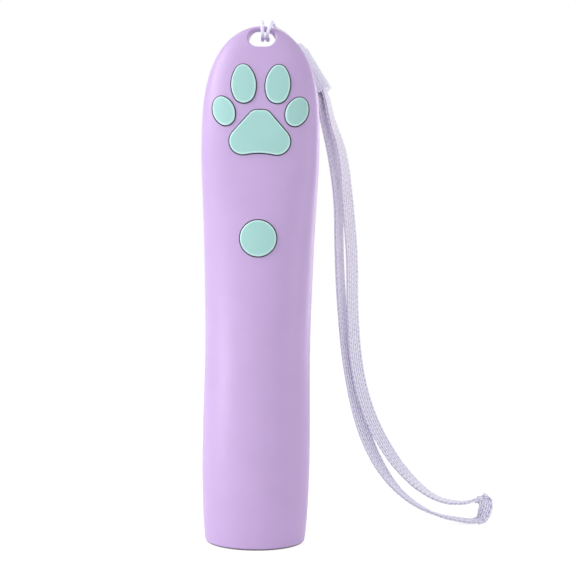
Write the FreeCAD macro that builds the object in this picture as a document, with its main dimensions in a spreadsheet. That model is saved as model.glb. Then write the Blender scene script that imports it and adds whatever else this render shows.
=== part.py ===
"""Cat laser pointer: a hand-held barrel that stands on its light end, in millimetres.

The light end rests on z = 0 and the lanyard eye is at the top. The paw key faces -Y.
"""
import FreeCAD, Part

import math
import os

import Sketcher
from FreeCAD import Placement, Rotation, Vector

doc = FreeCAD.newDocument("cat_laser_pointer")

# Driving sizes, one cell each, in millimetres, degrees for the leans
DRIVING_SIZES = (
    # Outer form of the body, at five levels and at the tip
    ("body_length", 136.0),
    ("nose_half_width", 13.05),
    ("nose_half_depth", 10.95),
    ("flare_height", 8.0),
    ("flare_half_width", 13.8),
    ("flare_half_depth", 11.15),
    ("barrel_height", 24.0),
    ("barrel_half_width", 14.2),
    ("barrel_half_depth", 11.2),
    ("waist_height", 53.0),
    ("waist_half_width", 13.9),
    ("waist_half_depth", 10.9),
    ("thumb_half_width", 14.6),
    ("thumb_front_depth", 9.6),
    ("thumb_rear_depth", 10.3),
    ("crown_height", 32.0),
    ("head_half_width", 15.6),
    ("head_front_depth", 7.6),
    ("head_rear_depth", 8.8),
    ("tip_half_width", 1.0),
    ("tip_half_depth", 0.6),
    ("shell_wall", 1.8),
    ("nose_edge_round", 0.85),
    ("lip_height", 0.8),
    ("lip_thickness", 0.65),
    ("lip_setback", 0.1),
    ("lip_clearance", 0.05),
    # Lanyard eye
    ("eye_width", 7.2),
    ("eye_height", 5.1),
    ("eye_edge_round", 0.4),
    ("bridge_height", 1.1),
    # Paw key, from its two lower lobes, which lie below the top of the body
    ("paw_drop", 31.45),
    ("pad_shoulder_offset", 0.8),
    ("pad_shoulder_rise", 5.68),
    ("pad_shoulder_radius", 2.4),
    ("pad_lobe_offset", 4.35),
    ("pad_lobe_radius", 3.5),
    ("pad_dip_drop", 3.05),
    ("inner_toe_offset", 4.45),
    ("inner_toe_rise", 15.05),
    ("inner_toe_length", 10.3),
    ("inner_toe_top_radius", 2.05),
    ("inner_toe_bottom_radius", 2.75),
    ("inner_toe_side_radius", 7.7),
    ("inner_toe_lean", 4.0),
    ("outer_toe_offset", 9.5),
    ("outer_toe_rise", 7.9),
    ("outer_toe_length", 7.95),
    ("outer_toe_top_radius", 2.0),
    ("outer_toe_bottom_radius", 2.35),
    ("outer_toe_side_radius", 5.05),
    ("outer_toe_lean", 23.0),
    # Round key, above the lower edge of the board, and what both keys share
    ("round_key_rise", 7.45),
    ("round_key_radius", 4.65),
    ("key_gap", 0.25),
    ("key_proud", 0.5),
    ("key_edge_round", 0.3),
    ("key_travel", 0.3),
    ("key_flange_reach", 1.2),
    ("key_flange_thickness", 1.2),
    ("key_flange_clearance", 0.15),
    ("key_flange_crest", 0.7),
    ("key_post_radius", 1.7),
    ("key_rest_gap", 0.05),
    # Main board with its switches, chip and charging port
    ("board_offset", 1.6),
    ("board_thickness", 1.0),
    ("board_half_width", 11.5),
    ("board_rise", 6.6),
    ("board_drop", 23.0),
    ("board_corner_round", 1.5),
    ("board_post_offset", 8.6),
    ("board_post_inset", 3.5),
    ("board_post_radius", 1.6),
    ("board_pin_radius", 0.55),
    ("board_pin_proud", 0.3),
    ("board_pin_clearance", 0.05),
    ("switch_side", 6.0),
    ("switch_height", 2.5),
    ("switch_cover", 0.5),
    ("switch_corner_round", 0.4),
    ("stem_radius", 1.5),
    ("stem_spare", 0.1),
    ("stem_collar_radius", 2.0),
    ("stem_collar_height", 0.7),
    ("stem_clearance", 0.05),
    ("chamber_radius", 2.2),
    ("chip_length", 5.0),
    ("chip_width", 4.0),
    ("chip_height", 1.5),
    ("chip_offset", 4.5),
    ("chip_leg_width", 0.4),
    ("chip_leg_reach", 1.0),
    ("chip_leg_thickness", 0.25),
    ("chip_leg_pitch", 1.27),
    ("port_offset", -0.5),
    ("port_length", 7.3),
    ("port_width", 8.94),
    ("port_thickness", 3.2),
    ("port_wall", 0.3),
    ("port_back_wall", 1.0),
    ("port_overhang", 3.2),
    ("port_slot_gap", 0.2),
    ("tongue_width", 6.7),
    ("tongue_thickness", 0.7),
    ("tongue_setback", 1.0),
    # Nose plate, laser module and lamps
    ("nose_recess", 1.4),
    ("nose_plate_thickness", 1.8),
    ("nose_groove_wall", 1.2),
    ("nose_plate_clearance", 0.05),
    ("beam_hole_radius", 2.0),
    ("window_radius", 2.7),
    ("window_thickness", 0.8),
    ("window_clearance", 0.05),
    ("barrel_tube_radius", 3.0),
    ("barrel_tube_length", 10.5),
    ("barrel_tube_mouth_radius", 1.8),
    ("barrel_tube_mouth_length", 0.6),
    ("barrel_tube_bore_radius", 2.2),
    ("collar_radius", 4.2),
    ("collar_height", 2.8),
    ("collar_clearance", 0.05),
    ("lens_thickness", 1.6),
    ("lens_clearance", 0.05),
    ("lens_dome_radius", 4.0),
    ("diode_flange_radius", 2.75),
    ("diode_flange_thickness", 1.2),
    ("diode_can_radius", 2.1),
    ("diode_can_length", 2.3),
    ("diode_seat_clearance", 0.05),
    ("leg_side", 0.45),
    ("leg_offset", 1.27),
    ("lamp_offset", 7.0),
    ("lamp_radius", 2.5),
    ("lamp_length", 7.6),
    ("lamp_tip_flat", 0.1),
    ("lamp_flange_radius", 2.9),
    ("lamp_flange_thickness", 1.0),
    ("lamp_sleeve_wall", 0.75),
    ("lamp_sleeve_clearance", 0.05),
    ("lamp_setback", 0.2),
    ("lamp_board_level", 15.75),
    ("lamp_board_thickness", 1.0),
    ("lamp_board_half_width", 10.2),
    ("lamp_board_half_depth", 4.5),
    ("lamp_board_corner_round", 1.5),
    # Cell, its pad and the ribs that carry it
    ("cell_radius", 7.0),
    ("cell_length", 43.0),
    ("cell_bottom", 22.4),
    ("cell_offset", 1.0),
    ("cell_edge_round", 0.8),
    ("cell_button_radius", 2.0),
    ("cell_button_height", 0.5),
    ("cell_pad_radius", 6.0),
    ("cell_pad_thickness", 1.0),
    ("cell_seat_clearance", 0.05),
    ("cell_end_gap", 0.3),
    ("rib_thickness", 1.2),
    ("rear_rib_inset", 9.0),
    ("front_rib_inset", 15.0),
    ("front_rib_half_width", 6.0),
    ("rib_root", 0.6),
    ("rib_setback", 0.3),
    # Screws and the bosses they join
    ("screw_radius", 0.85),
    ("screw_head_radius", 1.5),
    ("screw_head_height", 1.2),
    ("screw_length", 8.0),
    ("tip_screw_length", 6.0),
    ("screw_seat", 4.5),
    ("tip_screw_seat", 3.0),
    ("screw_thread_clearance", 0.02),
    ("screw_hole_clearance", 0.15),
    ("screw_recess_clearance", 0.15),
    ("screw_recess_depth", 0.6),
    ("screw_recess_width", 0.4),
    ("boss_radius", 2.2),
    ("rear_boss_radius", 2.9),
    ("boss_joint_gap", 0.05),
    ("boss_board_gap", 0.35),
    ("pilot_spare", 0.5),
    ("lower_boss_offset", 9.3),
    ("upper_boss_offset", 9.6),
    ("tip_boss_land", 0.15),
    # Leads, lanyard and strap
    ("lead_radius", 0.5),
    ("cord_radius", 0.5),
    ("strap_radius", 0.75),
    ("clip_foot_width", 5.6),
    ("clip_foot_thickness", 4.4),
    ("clip_shoulder_width", 4.3),
    ("clip_shoulder_thickness", 3.0),
    ("clip_crown_width", 2.5),
    ("clip_crown_thickness", 2.4),
    ("clip_crown_slope", 2.6),
)

sheet = doc.addObject("Spreadsheet::Sheet", "Sizes")
for row, (alias, number) in enumerate(DRIVING_SIZES, start=1):
    sheet.set("A%d" % row, alias)
    sheet.set("B%d" % row, str(number))
    sheet.setAlias("B%d" % row, alias)
doc.recompute()

FRONT = -1
REAR = 1
FORWARD = Rotation(Vector(1, 0, 0), 90)
BACKWARD = Rotation(Vector(1, 0, 0), -90)
REACH = 40.0


def size(alias):
    """The number in one cell of the sheet."""
    return float(sheet.get(alias))


def worth(expression):
    """The number that an expression on the sheet gives now."""
    return float(sheet.evalExpression(expression.replace("Sizes.", "")))


# Levels that hang from the top of the body or stand on the cell

BOARD_BOTTOM = "Sizes.cell_bottom + Sizes.cell_length + Sizes.board_rise"
BOARD_TOP = "Sizes.body_length - Sizes.board_drop"
BOARD_MIDDLE = "(%s + %s) / 2" % (BOARD_BOTTOM, BOARD_TOP)
CHIP_LEVEL = BOARD_MIDDLE + " + Sizes.chip_offset"
PORT_LEVEL = BOARD_MIDDLE + " + Sizes.port_offset"
ROUND_KEY_LEVEL = BOARD_BOTTOM + " + Sizes.round_key_rise"
PAW_LEVEL = "Sizes.body_length - Sizes.paw_drop"
HEAD_LEVEL = "Sizes.body_length - Sizes.crown_height"

round_key_level = worth(ROUND_KEY_LEVEL)
paw_level = worth(PAW_LEVEL)
head_level = worth(HEAD_LEVEL)

# Outer form of the body

ROUND_SECTION = 2.0
THUMB_SECTION = 2.15
HEAD_SECTION = 2.6
CROWN_WIDTH_POWER = 2.95
CROWN_FRONT_POWER = 1.6
CROWN_REAR_POWER = 1.8
BARREL_LEVELS = 18
CROWN_LEVELS = 10
SECTION_STEPS = 16


def body_levels():
    """Height, half width, front depth, rear depth and squareness at each named level."""
    nose = size("nose_half_depth")
    flare = size("flare_half_depth")
    barrel = size("barrel_half_depth")
    waist = size("waist_half_depth")
    return (
        (0.0, size("nose_half_width"), nose, nose, ROUND_SECTION),
        (size("flare_height"), size("flare_half_width"), flare, flare, ROUND_SECTION),
        (size("barrel_height"), size("barrel_half_width"), barrel, barrel, ROUND_SECTION),
        (size("waist_height"), size("waist_half_width"), waist, waist, ROUND_SECTION),
        (round_key_level, size("thumb_half_width"), size("thumb_front_depth"),
         size("thumb_rear_depth"), THUMB_SECTION),
        (head_level, size("head_half_width"), size("head_front_depth"),
         size("head_rear_depth"), HEAD_SECTION),
    )


LEVELS = body_levels()


def level_slope(index, column):
    """How fast a column of the named levels changes with height; level at the head."""
    last = len(LEVELS) - 1
    if index == last:
        return 0.0
    below = LEVELS[max(index - 1, 0)]
    above = LEVELS[index + 1]
    return (above[column] - below[column]) / (above[0] - below[0])


def along_barrel(height, column):
    """One column of the named levels at any height, on smooth cubic stretches."""
    height = max(height, 0.0)
    index = 0
    while height > LEVELS[index + 1][0]:
        index += 1
    low, high = LEVELS[index], LEVELS[index + 1]
    span = high[0] - low[0]
    share = (height - low[0]) / span
    rest = 1.0 - share
    return (
        (1 + 2 * share) * rest ** 2 * low[column]
        + share * rest ** 2 * span * level_slope(index, column)
        + share ** 2 * (3 - 2 * share) * high[column]
        - share ** 2 * rest * span * level_slope(index + 1, column)
    )


def over_crown(share, full, tip, power):
    """A half width or depth that closes from the head to the tip of the crown."""
    return math.sqrt(tip ** 2 + (full ** 2 - tip ** 2) * (1 - share ** power))


def section_at(height):
    """Half width, front depth, rear depth and squareness of the body at one height."""
    if height <= head_level:
        return tuple(along_barrel(height, column) for column in (1, 2, 3, 4))
    share = (height - head_level) / size("crown_height")
    tip_depth = size("tip_half_depth")
    return (
        over_crown(share, size("head_half_width"), size("tip_half_width"), CROWN_WIDTH_POWER),
        over_crown(share, size("head_front_depth"), tip_depth, CROWN_FRONT_POWER),
        over_crown(share, size("head_rear_depth"), tip_depth, CROWN_REAR_POWER),
        HEAD_SECTION,
    )


def section_row(side, inset, height):
    """Points across half a section, over the front from +X or over the rear from -X."""
    half_width, front_depth, rear_depth, squareness = section_at(height)
    depth = front_depth if side == FRONT else rear_depth
    across = half_width - inset
    along = depth - inset
    row = [Vector(across, 0, height)]
    for step in range(1, SECTION_STEPS):
        turn = math.cos(math.pi * step / SECTION_STEPS)
        rise = math.sin(math.pi * step / SECTION_STEPS)
        swell = (abs(turn) ** squareness + rise ** squareness) ** (-1 / squareness)
        row.append(Vector(across * swell * turn, side * along * swell * rise, height))
    row.append(Vector(-across, 0, height))
    return row if side == FRONT else row[::-1]


def half_body(side, inset, low, high):
    """Solid front or rear half of the body between two heights, shrunk by an inset."""
    spacing = head_level / BARREL_LEVELS
    heights = [spacing * step for step in range(1, BARREL_LEVELS + 1)]
    for step in range(1, CROWN_LEVELS + 1):
        rise = math.sin(math.radians(90.0 * step / (CROWN_LEVELS + 1)))
        heights.append(head_level + size("crown_height") * rise)
    margin = 0.4 * spacing
    heights = [
        height for height in heights
        if low + margin < height < min(high - margin, head_level)
        or head_level < height < high - inset - 0.1
    ]
    rows = [section_row(side, inset, height) for height in [low] + heights + [high]]
    surface = Part.BSplineSurface()
    surface.interpolate(rows)
    skin = surface.toShape()
    end_edges = []
    end_faces = []
    closing_lines = []
    for height in (low, high):
        for edge in skin.Edges:
            if all(abs(vertex.Z - height) < 1e-6 for vertex in edge.Vertexes):
                end_edges.append(edge)
                line = Part.makeLine(edge.Vertexes[0].Point, edge.Vertexes[-1].Point)
                closing_lines.append(line)
                end_faces.append(Part.Face(Part.Wire([edge, line])))
    side_edges = [
        edge for edge in skin.Edges if not any(edge.isSame(end) for end in end_edges)
    ]
    loop = [side_edges[0], closing_lines[0], side_edges[1], closing_lines[1]]
    flat = Part.Face(Part.Wire(Part.__sortEdges__(loop)))
    solid = Part.Solid(Part.Shell([skin] + end_faces + [flat]))
    if solid.Volume < 0:
        solid.reverse()
    return solid


# Outlines of the keys, in the XZ plane

def arc_through(start, middle, end):
    """Edge of a circular arc given as three (x, z) points."""
    points = [Vector(x, 0, z) for x, z in (start, middle, end)]
    return Part.Arc(*points).toShape()


def line_between(start, end):
    """Edge of a straight line given as two (x, z) points."""
    return Part.makeLine(Vector(start[0], 0, start[1]), Vector(end[0], 0, end[1]))


def on_circle(centre, radius, angle):
    """Point of a circle at an angle in radians."""
    return (centre[0] + radius * math.cos(angle), centre[1] + radius * math.sin(angle))


def main_pad_outline(grow):
    """Outline of the large pad: two shoulders, two lobes and a shallow dip below."""
    shoulder = (size("pad_shoulder_offset"), paw_level + size("pad_shoulder_rise"))
    lobe = (size("pad_lobe_offset"), paw_level)
    shoulder_radius = size("pad_shoulder_radius")
    lobe_radius = size("pad_lobe_radius")
    drop = size("pad_dip_drop")
    run = (lobe[0] - shoulder[0], lobe[1] - shoulder[1])
    normal = math.atan2(run[1], run[0]) + math.acos(
        (shoulder_radius - lobe_radius) / math.hypot(*run))
    dip_radius = (lobe[0] ** 2 + drop ** 2 - lobe_radius ** 2) / (2 * (lobe_radius - drop))
    dip = (0.0, paw_level - drop - dip_radius)
    inward = math.atan2(dip[1] - lobe[1], dip[0] - lobe[0])
    outer_shoulder = shoulder_radius + grow
    outer_lobe = lobe_radius + grow
    top = on_circle(shoulder, outer_shoulder, math.pi / 2)
    bend = on_circle(shoulder, outer_shoulder, (normal + math.pi / 2) / 2)
    leave = on_circle(shoulder, outer_shoulder, normal)
    arrive = on_circle(lobe, outer_lobe, normal)
    around = on_circle(lobe, outer_lobe, (normal + inward) / 2)
    under = on_circle(lobe, outer_lobe, inward)
    bottom = (0.0, dip[1] + dip_radius - grow)

    def other(point):
        return (-point[0], point[1])

    edges = [
        line_between(other(top), top),
        arc_through(top, bend, leave),
        line_between(leave, arrive),
        arc_through(arrive, around, under),
        arc_through(under, bottom, other(under)),
        arc_through(other(under), other(around), other(arrive)),
        line_between(other(arrive), other(leave)),
        arc_through(other(leave), other(bend), other(top)),
    ]
    return Part.Wire(edges)


def toe_outline(name, hand, grow):
    """Outline of one toe pad: an egg of four arcs, leaning outwards; hand is -1 or 1."""
    length = size(name + "_length")
    top_radius = size(name + "_top_radius")
    bottom_radius = size(name + "_bottom_radius")
    side_radius = size(name + "_side_radius")
    top = (0.0, length / 2 - top_radius)
    bottom = (0.0, bottom_radius - length / 2)
    gap = top[1] - bottom[1]
    rise = (top[1] + bottom[1]) / 2 - (
        (bottom_radius - top_radius) * (2 * side_radius - top_radius - bottom_radius) / (2 * gap))
    offset = math.sqrt((side_radius - top_radius) ** 2 - (top[1] - rise) ** 2)
    flank = (-offset, rise)
    upper = math.atan2(top[1] - rise, offset)
    lower = math.atan2(bottom[1] - rise, offset)
    high = on_circle(flank, side_radius + grow, upper)
    wide = on_circle(flank, side_radius + grow, (upper + lower) / 2)
    deep = on_circle(flank, side_radius + grow, lower)
    crest = (0.0, length / 2 + grow)
    base = (0.0, -length / 2 - grow)
    edges = [
        arc_through((-high[0], high[1]), crest, high),
        arc_through(high, wide, deep),
        arc_through(deep, base, (-deep[0], deep[1])),
        arc_through((-deep[0], deep[1]), (-wide[0], wide[1]), (-high[0], high[1])),
    ]
    wire = Part.Wire(edges)
    wire.rotate(Vector(0, 0, 0), Vector(0, 1, 0), hand * size(name + "_lean"))
    wire.translate(Vector(hand * size(name + "_offset"), 0, paw_level + size(name + "_rise")))
    return wire


def round_outline(grow):
    """Outline of the round key."""
    centre = Vector(0, 0, round_key_level)
    return Part.Wire(Part.makeCircle(size("round_key_radius") + grow, centre, Vector(0, 1, 0)))


def paw_outlines(grow):
    """Outlines of the five pads of the paw."""
    toes = [
        toe_outline(name, hand, grow)
        for name in ("inner_toe", "outer_toe") for hand in (-1, 1)
    ]
    return [main_pad_outline(grow)] + toes


def forward_prism(outline):
    """Solid of an outline, from the split plane out through the front."""
    return Part.Face(outline).extrude(Vector(0, -REACH, 0))


def forward_cylinder(radius, x, z, start, end):
    """Cylinder along Y between two depths."""
    return Part.makeCylinder(radius, end - start, Vector(x, start, z), Vector(0, 1, 0))


def slab(low_corner, high_corner):
    """Box between two corners."""
    return Part.makeBox(*(high_corner - low_corner), low_corner)


# Levels and places that several pieces share

body_length = size("body_length")
shell_wall = size("shell_wall")
board_front = size("board_offset")
board_back = board_front + size("board_thickness")
stem_tip = board_front - size("switch_height") - size("key_travel") - size("stem_spare")
board_bottom = worth(BOARD_BOTTOM)
board_top = worth(BOARD_TOP)
toe_top = paw_level + size("inner_toe_rise") + size("inner_toe_length") / 2
cavity_top = toe_top + size("key_flange_crest") + size("key_flange_clearance")
screw_recess_radius = size("screw_head_radius") + size("screw_recess_clearance")
tip_screw_level = cavity_top + size("tip_boss_land") + screw_recess_radius
eye_level = body_length - size("bridge_height") - size("eye_height") / 2
cell_bottom = size("cell_bottom")
cell_top = cell_bottom + size("cell_length")
pad_bottom = cell_bottom - size("cell_pad_thickness")
rib = size("rib_thickness")
key_hollow_inset = shell_wall + size("key_flange_clearance") + size("key_flange_thickness")

boss_room = size("boss_board_gap") + size("rear_boss_radius")
lamp_board_top = size("lamp_board_level") + size("lamp_board_thickness")

SCREWS = [
    (hand * size(name), level, size("screw_seat"), size("screw_length"))
    for name, level in (
        ("lower_boss_offset", lamp_board_top + boss_room),
        ("upper_boss_offset", board_bottom - boss_room))
    for hand in (-1, 1)
] + [(0.0, tip_screw_level, size("tip_screw_seat"), size("tip_screw_length"))]


def boss_screws():
    """The screws that run in free-standing bosses; the last one sits in the solid tip."""
    return SCREWS[:-1]


# Shapes that both shells are cut or built from

def eye_cutter():
    """Prism through the lanyard eye, a slot with round ends."""
    radius = size("eye_height") / 2
    shift = size("eye_width") / 2 - radius
    points = [(-shift, eye_level + radius), (shift, eye_level + radius),
              (shift, eye_level - radius), (-shift, eye_level - radius)]
    edges = [
        line_between(points[0], points[1]),
        arc_through(points[1], (shift + radius, eye_level), points[2]),
        line_between(points[2], points[3]),
        arc_through(points[3], (-shift - radius, eye_level), points[0]),
    ]
    prism = Part.Face(Part.Wire(edges)).extrude(Vector(0, 2 * REACH, 0))
    prism.translate(Vector(0, -REACH, 0))
    return prism


def port_cutter():
    """Prism through the left wall for the mouth of the charging port."""
    gap = size("port_slot_gap")
    radius = size("port_thickness") / 2 + gap
    shift = size("port_width") / 2 + gap - radius
    middle = board_front - size("port_thickness") / 2
    level = worth(PORT_LEVEL)
    left = Vector(-REACH, middle, level)
    inner = size("board_half_width")
    span = REACH - inner
    ends = [
        Part.makeCylinder(radius, span, left + Vector(0, 0, up * shift), Vector(1, 0, 0))
        for up in (-1, 1)
    ]
    core = slab(left - Vector(0, radius, shift), left + Vector(span, radius, shift))
    return core.fuse(ends).removeSplitter()


def nose_groove():
    """Elliptical disc that the nose plate fills, with its clearance."""
    clearance = size("nose_plate_clearance")
    wall = size("nose_groove_wall")
    low = size("nose_recess") - clearance
    height = size("nose_plate_thickness") + 2 * clearance
    ellipse = Part.Ellipse(
        Vector(0, 0, low), size("nose_half_width") - wall, size("nose_half_depth") - wall)
    return Part.Face(Part.Wire(ellipse.toShape())).extrude(Vector(0, 0, height))


def lip_block(lip_gap):
    """Layer just behind the split, out to the outside of the front shell's locating lip."""
    low = size("nose_recess") + size("nose_plate_thickness") + size("lip_height") - lip_gap
    high = cavity_top - size("lip_height") + lip_gap
    band = slab(Vector(-REACH, 0, low), Vector(REACH, size("lip_height") + lip_gap, high))
    inset = shell_wall - size("lip_setback") - size("lip_thickness") - lip_gap
    return half_body(REAR, inset, low, high).common(band)


def cell_space():
    """Cylinder that the cell's ribs are cut to."""
    radius = size("cell_radius") + size("cell_seat_clearance")
    return Part.makeCylinder(
        radius, size("cell_length") * 2, Vector(0, size("cell_offset"), 0))


def rounded_half(side):
    """Outer half of the body with its round edge at the light end."""
    outer = half_body(side, 0.0, 0.0, body_length)
    rim = [
        edge for edge in outer.Edges
        if edge.BoundBox.ZMax < 1e-3 and edge.BoundBox.YLength > 1.0
    ]
    return outer.makeFillet(size("nose_edge_round"), rim)


def eased_eye(shell, side):
    """The shell with the mouth of its lanyard eye rounded over."""
    radius = size("eye_height") / 2
    mouth = []
    for edge in shell.Edges:
        box = edge.BoundBox
        near = eye_level - radius - 0.01 < box.ZMin and box.ZMax < eye_level + radius + 0.01
        if near and min(abs(box.YMin), abs(box.YMax)) > 0.5 and edge.Curve.TypeId != "Part::GeomLine":
            if side * box.Center.y > 0:
                mouth.append(edge)
    return shell.makeFillet(size("eye_edge_round"), mouth)


# Front shell

def front_shell_shape():
    """Front half of the casing, with the key openings, lip, bosses and clamp ribs."""
    shell = rounded_half(FRONT)
    shell = shell.cut(half_body(FRONT, shell_wall, -1.0, cavity_top))
    shell = eased_eye(shell.cut(eye_cutter()), FRONT)
    additions = []
    for x, z, _, _ in boss_screws():
        additions.append(forward_cylinder(size("boss_radius"), x, z, -REACH, 0))
    inner = half_body(FRONT, shell_wall - size("rib_root"), 1.0, cavity_top)
    bosses = additions[0].fuse(additions[1:]).common(inner)
    ribs = []
    reach = size("front_rib_half_width")
    for level in (cell_bottom + size("front_rib_inset"), cell_top - size("front_rib_inset")):
        plate = slab(Vector(-reach, -REACH, level), Vector(reach, -size("cell_radius") / 2, level + rib))
        ribs.append(plate.common(inner).cut(cell_space()))
    lip = lip_block(0.0).cut(half_body(REAR, shell_wall - size("lip_setback"), 1.0, cavity_top))
    shell = shell.fuse([bosses] + ribs + [lip])
    pilots = []
    for x, z, seat, length in SCREWS:
        radius = size("screw_radius") + size("screw_thread_clearance")
        pilots.append(forward_cylinder(radius, x, z, seat - length - size("pilot_spare"), 1.0))
    openings = [
        forward_prism(outline)
        for outline in paw_outlines(size("key_gap")) + [round_outline(size("key_gap"))]
    ]
    return shell.cut(pilots + openings + [nose_groove(), port_cutter()])


# Rear shell

def rear_shell_shape():
    """Rear half of the casing, with bosses, cell cradle, stops and board posts."""
    shell = rounded_half(REAR)
    shell = shell.cut(half_body(REAR, shell_wall, -1.0, cavity_top))
    shell = eased_eye(shell.cut(eye_cutter()), REAR)
    shell = shell.cut(lip_block(size("lip_clearance")))
    inner = half_body(REAR, shell_wall - size("rib_root"), 1.0, cavity_top)
    joint = size("boss_joint_gap")
    columns = []
    for x, z, _, _ in boss_screws():
        columns.append(forward_cylinder(size("rear_boss_radius"), x, z, joint, REACH))
    posts = post_places()
    for x, z in posts:
        columns.append(forward_cylinder(size("board_post_radius"), x, z, board_back, REACH))
    plates = []
    setback = size("rib_setback")
    for level in (pad_bottom - rib, cell_top + size("cell_button_height") + size("cell_end_gap")):
        plates.append(slab(
            Vector(-size("cell_radius"), setback, level), Vector(size("cell_radius"), REACH, level + rib)))
    for level in (cell_bottom + size("rear_rib_inset"), cell_top - size("rear_rib_inset")):
        plate = slab(Vector(-REACH, setback, level), Vector(REACH, REACH, level + rib))
        plates.append(plate.cut(cell_space()))
    lip_room = size("lip_height") + setback
    inner = inner.cut(slab(Vector(-REACH, -1, 0), Vector(REACH, lip_room, body_length)).cut(
        half_body(REAR, shell_wall + setback, 0.5, cavity_top)))
    carriers = columns[0].fuse(columns[1:] + plates).common(inner)
    pins = [
        forward_cylinder(
            size("board_pin_radius"), x, z, board_front - size("board_pin_proud"), board_back + 1)
        for x, z in posts
    ]
    shell = shell.fuse([carriers] + pins)
    holes = []
    for x, z, seat, _ in SCREWS:
        radius = size("screw_radius") + size("screw_hole_clearance")
        holes.append(forward_cylinder(radius, x, z, -1.0, seat + 0.1))
        holes.append(forward_cylinder(screw_recess_radius, x, z, seat, REACH))
    return shell.cut(holes + [nose_groove(), port_cutter()])


def post_places():
    """Where the rear shell's posts carry the main board."""
    inset = size("board_post_inset")
    levels = (board_bottom + inset, board_top - inset)
    return [(hand * size("board_post_offset"), level) for level in levels for hand in (-1, 1)]


# Keys

def key_shape(outlines, flange_outlines, low, high, post_level):
    """A moulded key: raised pads, a flange behind the wall and a post to its switch."""
    raised = half_body(FRONT, 0.0, 0.0, body_length)
    raised.translate(Vector(0, -size("key_proud"), 0))
    pads = []
    for outline in outlines:
        pad = forward_prism(outline).common(raised)
        top = max(pad.Faces, key=lambda face: -face.CenterOfMass.y)
        pads.append(pad.makeFillet(size("key_edge_round"), top.Edges))
    flange_room = half_body(FRONT, shell_wall + size("key_flange_clearance"), low, high)
    flanges = [forward_prism(outline) for outline in flange_outlines]
    plate = flanges[0]
    if flanges[1:]:
        plate = plate.fuse(flanges[1:])
    plate = plate.common(flange_room)
    hollow = half_body(FRONT, key_hollow_inset, low - 1.0, high + 0.5)
    key = pads[0].fuse(pads[1:] + [plate]).cut(hollow)
    key = key.cut(slab(
        Vector(-REACH, -size("key_flange_thickness") / 2, 0), Vector(REACH, REACH, body_length)))
    back = size("key_rest_gap")
    post = forward_cylinder(size("key_post_radius"), 0, post_level, -REACH, stem_tip - back)
    return key.fuse(post.common(flange_room)).removeSplitter()


# Tubes for leads, cords and the strap

ARC_SHARE = 0.45


def rounded_path(points):
    """Straight runs joined by tangent arcs, with the radius of each arc."""
    corners = [Vector(*point) for point in points]
    edges = []
    radii = []
    start = corners[0]
    for before, corner, after in zip(corners, corners[1:], corners[2:]):
        arriving = (before - corner).normalize()
        leaving = (after - corner).normalize()
        trim = ARC_SHARE * min((before - corner).Length, (after - corner).Length)
        half_turn = (math.pi - arriving.getAngle(leaving)) / 2
        radius = trim / math.tan(half_turn)
        first = corner + arriving * trim
        last = corner + leaving * trim
        inward = (arriving + leaving).normalize()
        middle = corner + inward * (radius / math.cos(half_turn) - radius)
        edges.append(Part.makeLine(start, first))
        edges.append(Part.Arc(first, middle, last).toShape())
        radii.append(radius)
        start = last
    edges.append(Part.makeLine(start, corners[-1]))
    return Part.Wire(edges), radii


def tube(name, points, radius):
    """Round solid along a route, which prints its length, radii and volume check."""
    path, radii = rounded_path(points)
    direction = Vector(*points[1]) - Vector(*points[0])
    circle = Part.Wire(Part.makeCircle(radius, Vector(*points[0]), direction))
    solid = path.makePipeShell([circle], True, False)
    share = solid.Volume / (math.pi * radius ** 2 * path.Length)
    print(name, "length", round(path.Length, 1), "radii", [round(value, 1) for value in radii],
          "volume share", round(share, 4))
    return solid


def mirrored(points):
    """The same route on the other side of the body."""
    return [(-x, y, z) for x, y, z in points]


LAMP_LEAD_ROUTE = [
    (5.0, -3.2, 16.75),
    (5.0, -3.5, 20.0),
    (8.2, -3.2, 27.0),
    (8.7, -3.0, 43.0),
    (8.3, -3.1, 58.0),
    (6.5, -2.8, 66.0),
    (6.2, -2.1, 71.4),
    (6.0, -1.4, 76.0),
    (6.0, 1.6, 76.0),
]

CELL_LEAD_ROUTE = [
    (1.5, -1.6, 65.4),
    (1.5, -1.6, 68.2),
    (2.2, -1.2, 71.2),
    (2.5, -0.9, 74.0),
    (2.5, 1.6, 74.0),
]

CLIP_FOOT = Vector(16.5, 9.6, 120.85)
CLIP_CROWN = Vector(9.4, 11.0, 134.0)

LANYARD_ROUTE = [
    (9.03, 11.55, 133.74),
    (8.6, 11.63, 134.53),
    (4.6, 10.6, 136.4),
    (0.5, 7.6, 137.2),
    (-0.1, 2.2, 137.0),
    (0.0, -2.6, 137.0),
    (0.15, -2.75, 133.2),
    (0.1, 3.9, 133.2),
    (-0.4, 6.2, 134.6),
    (1.8, 6.2, 134.6),
    (1.35, 3.9, 133.2),
    (1.25, -2.75, 133.2),
    (2.6, -2.6, 137.0),
    (3.0, 2.2, 137.0),
    (3.8, 6.4, 137.2),
    (6.2, 9.0, 136.6),
    (8.55, 10.54, 134.62),
    (8.98, 10.45, 133.83),
]

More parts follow.
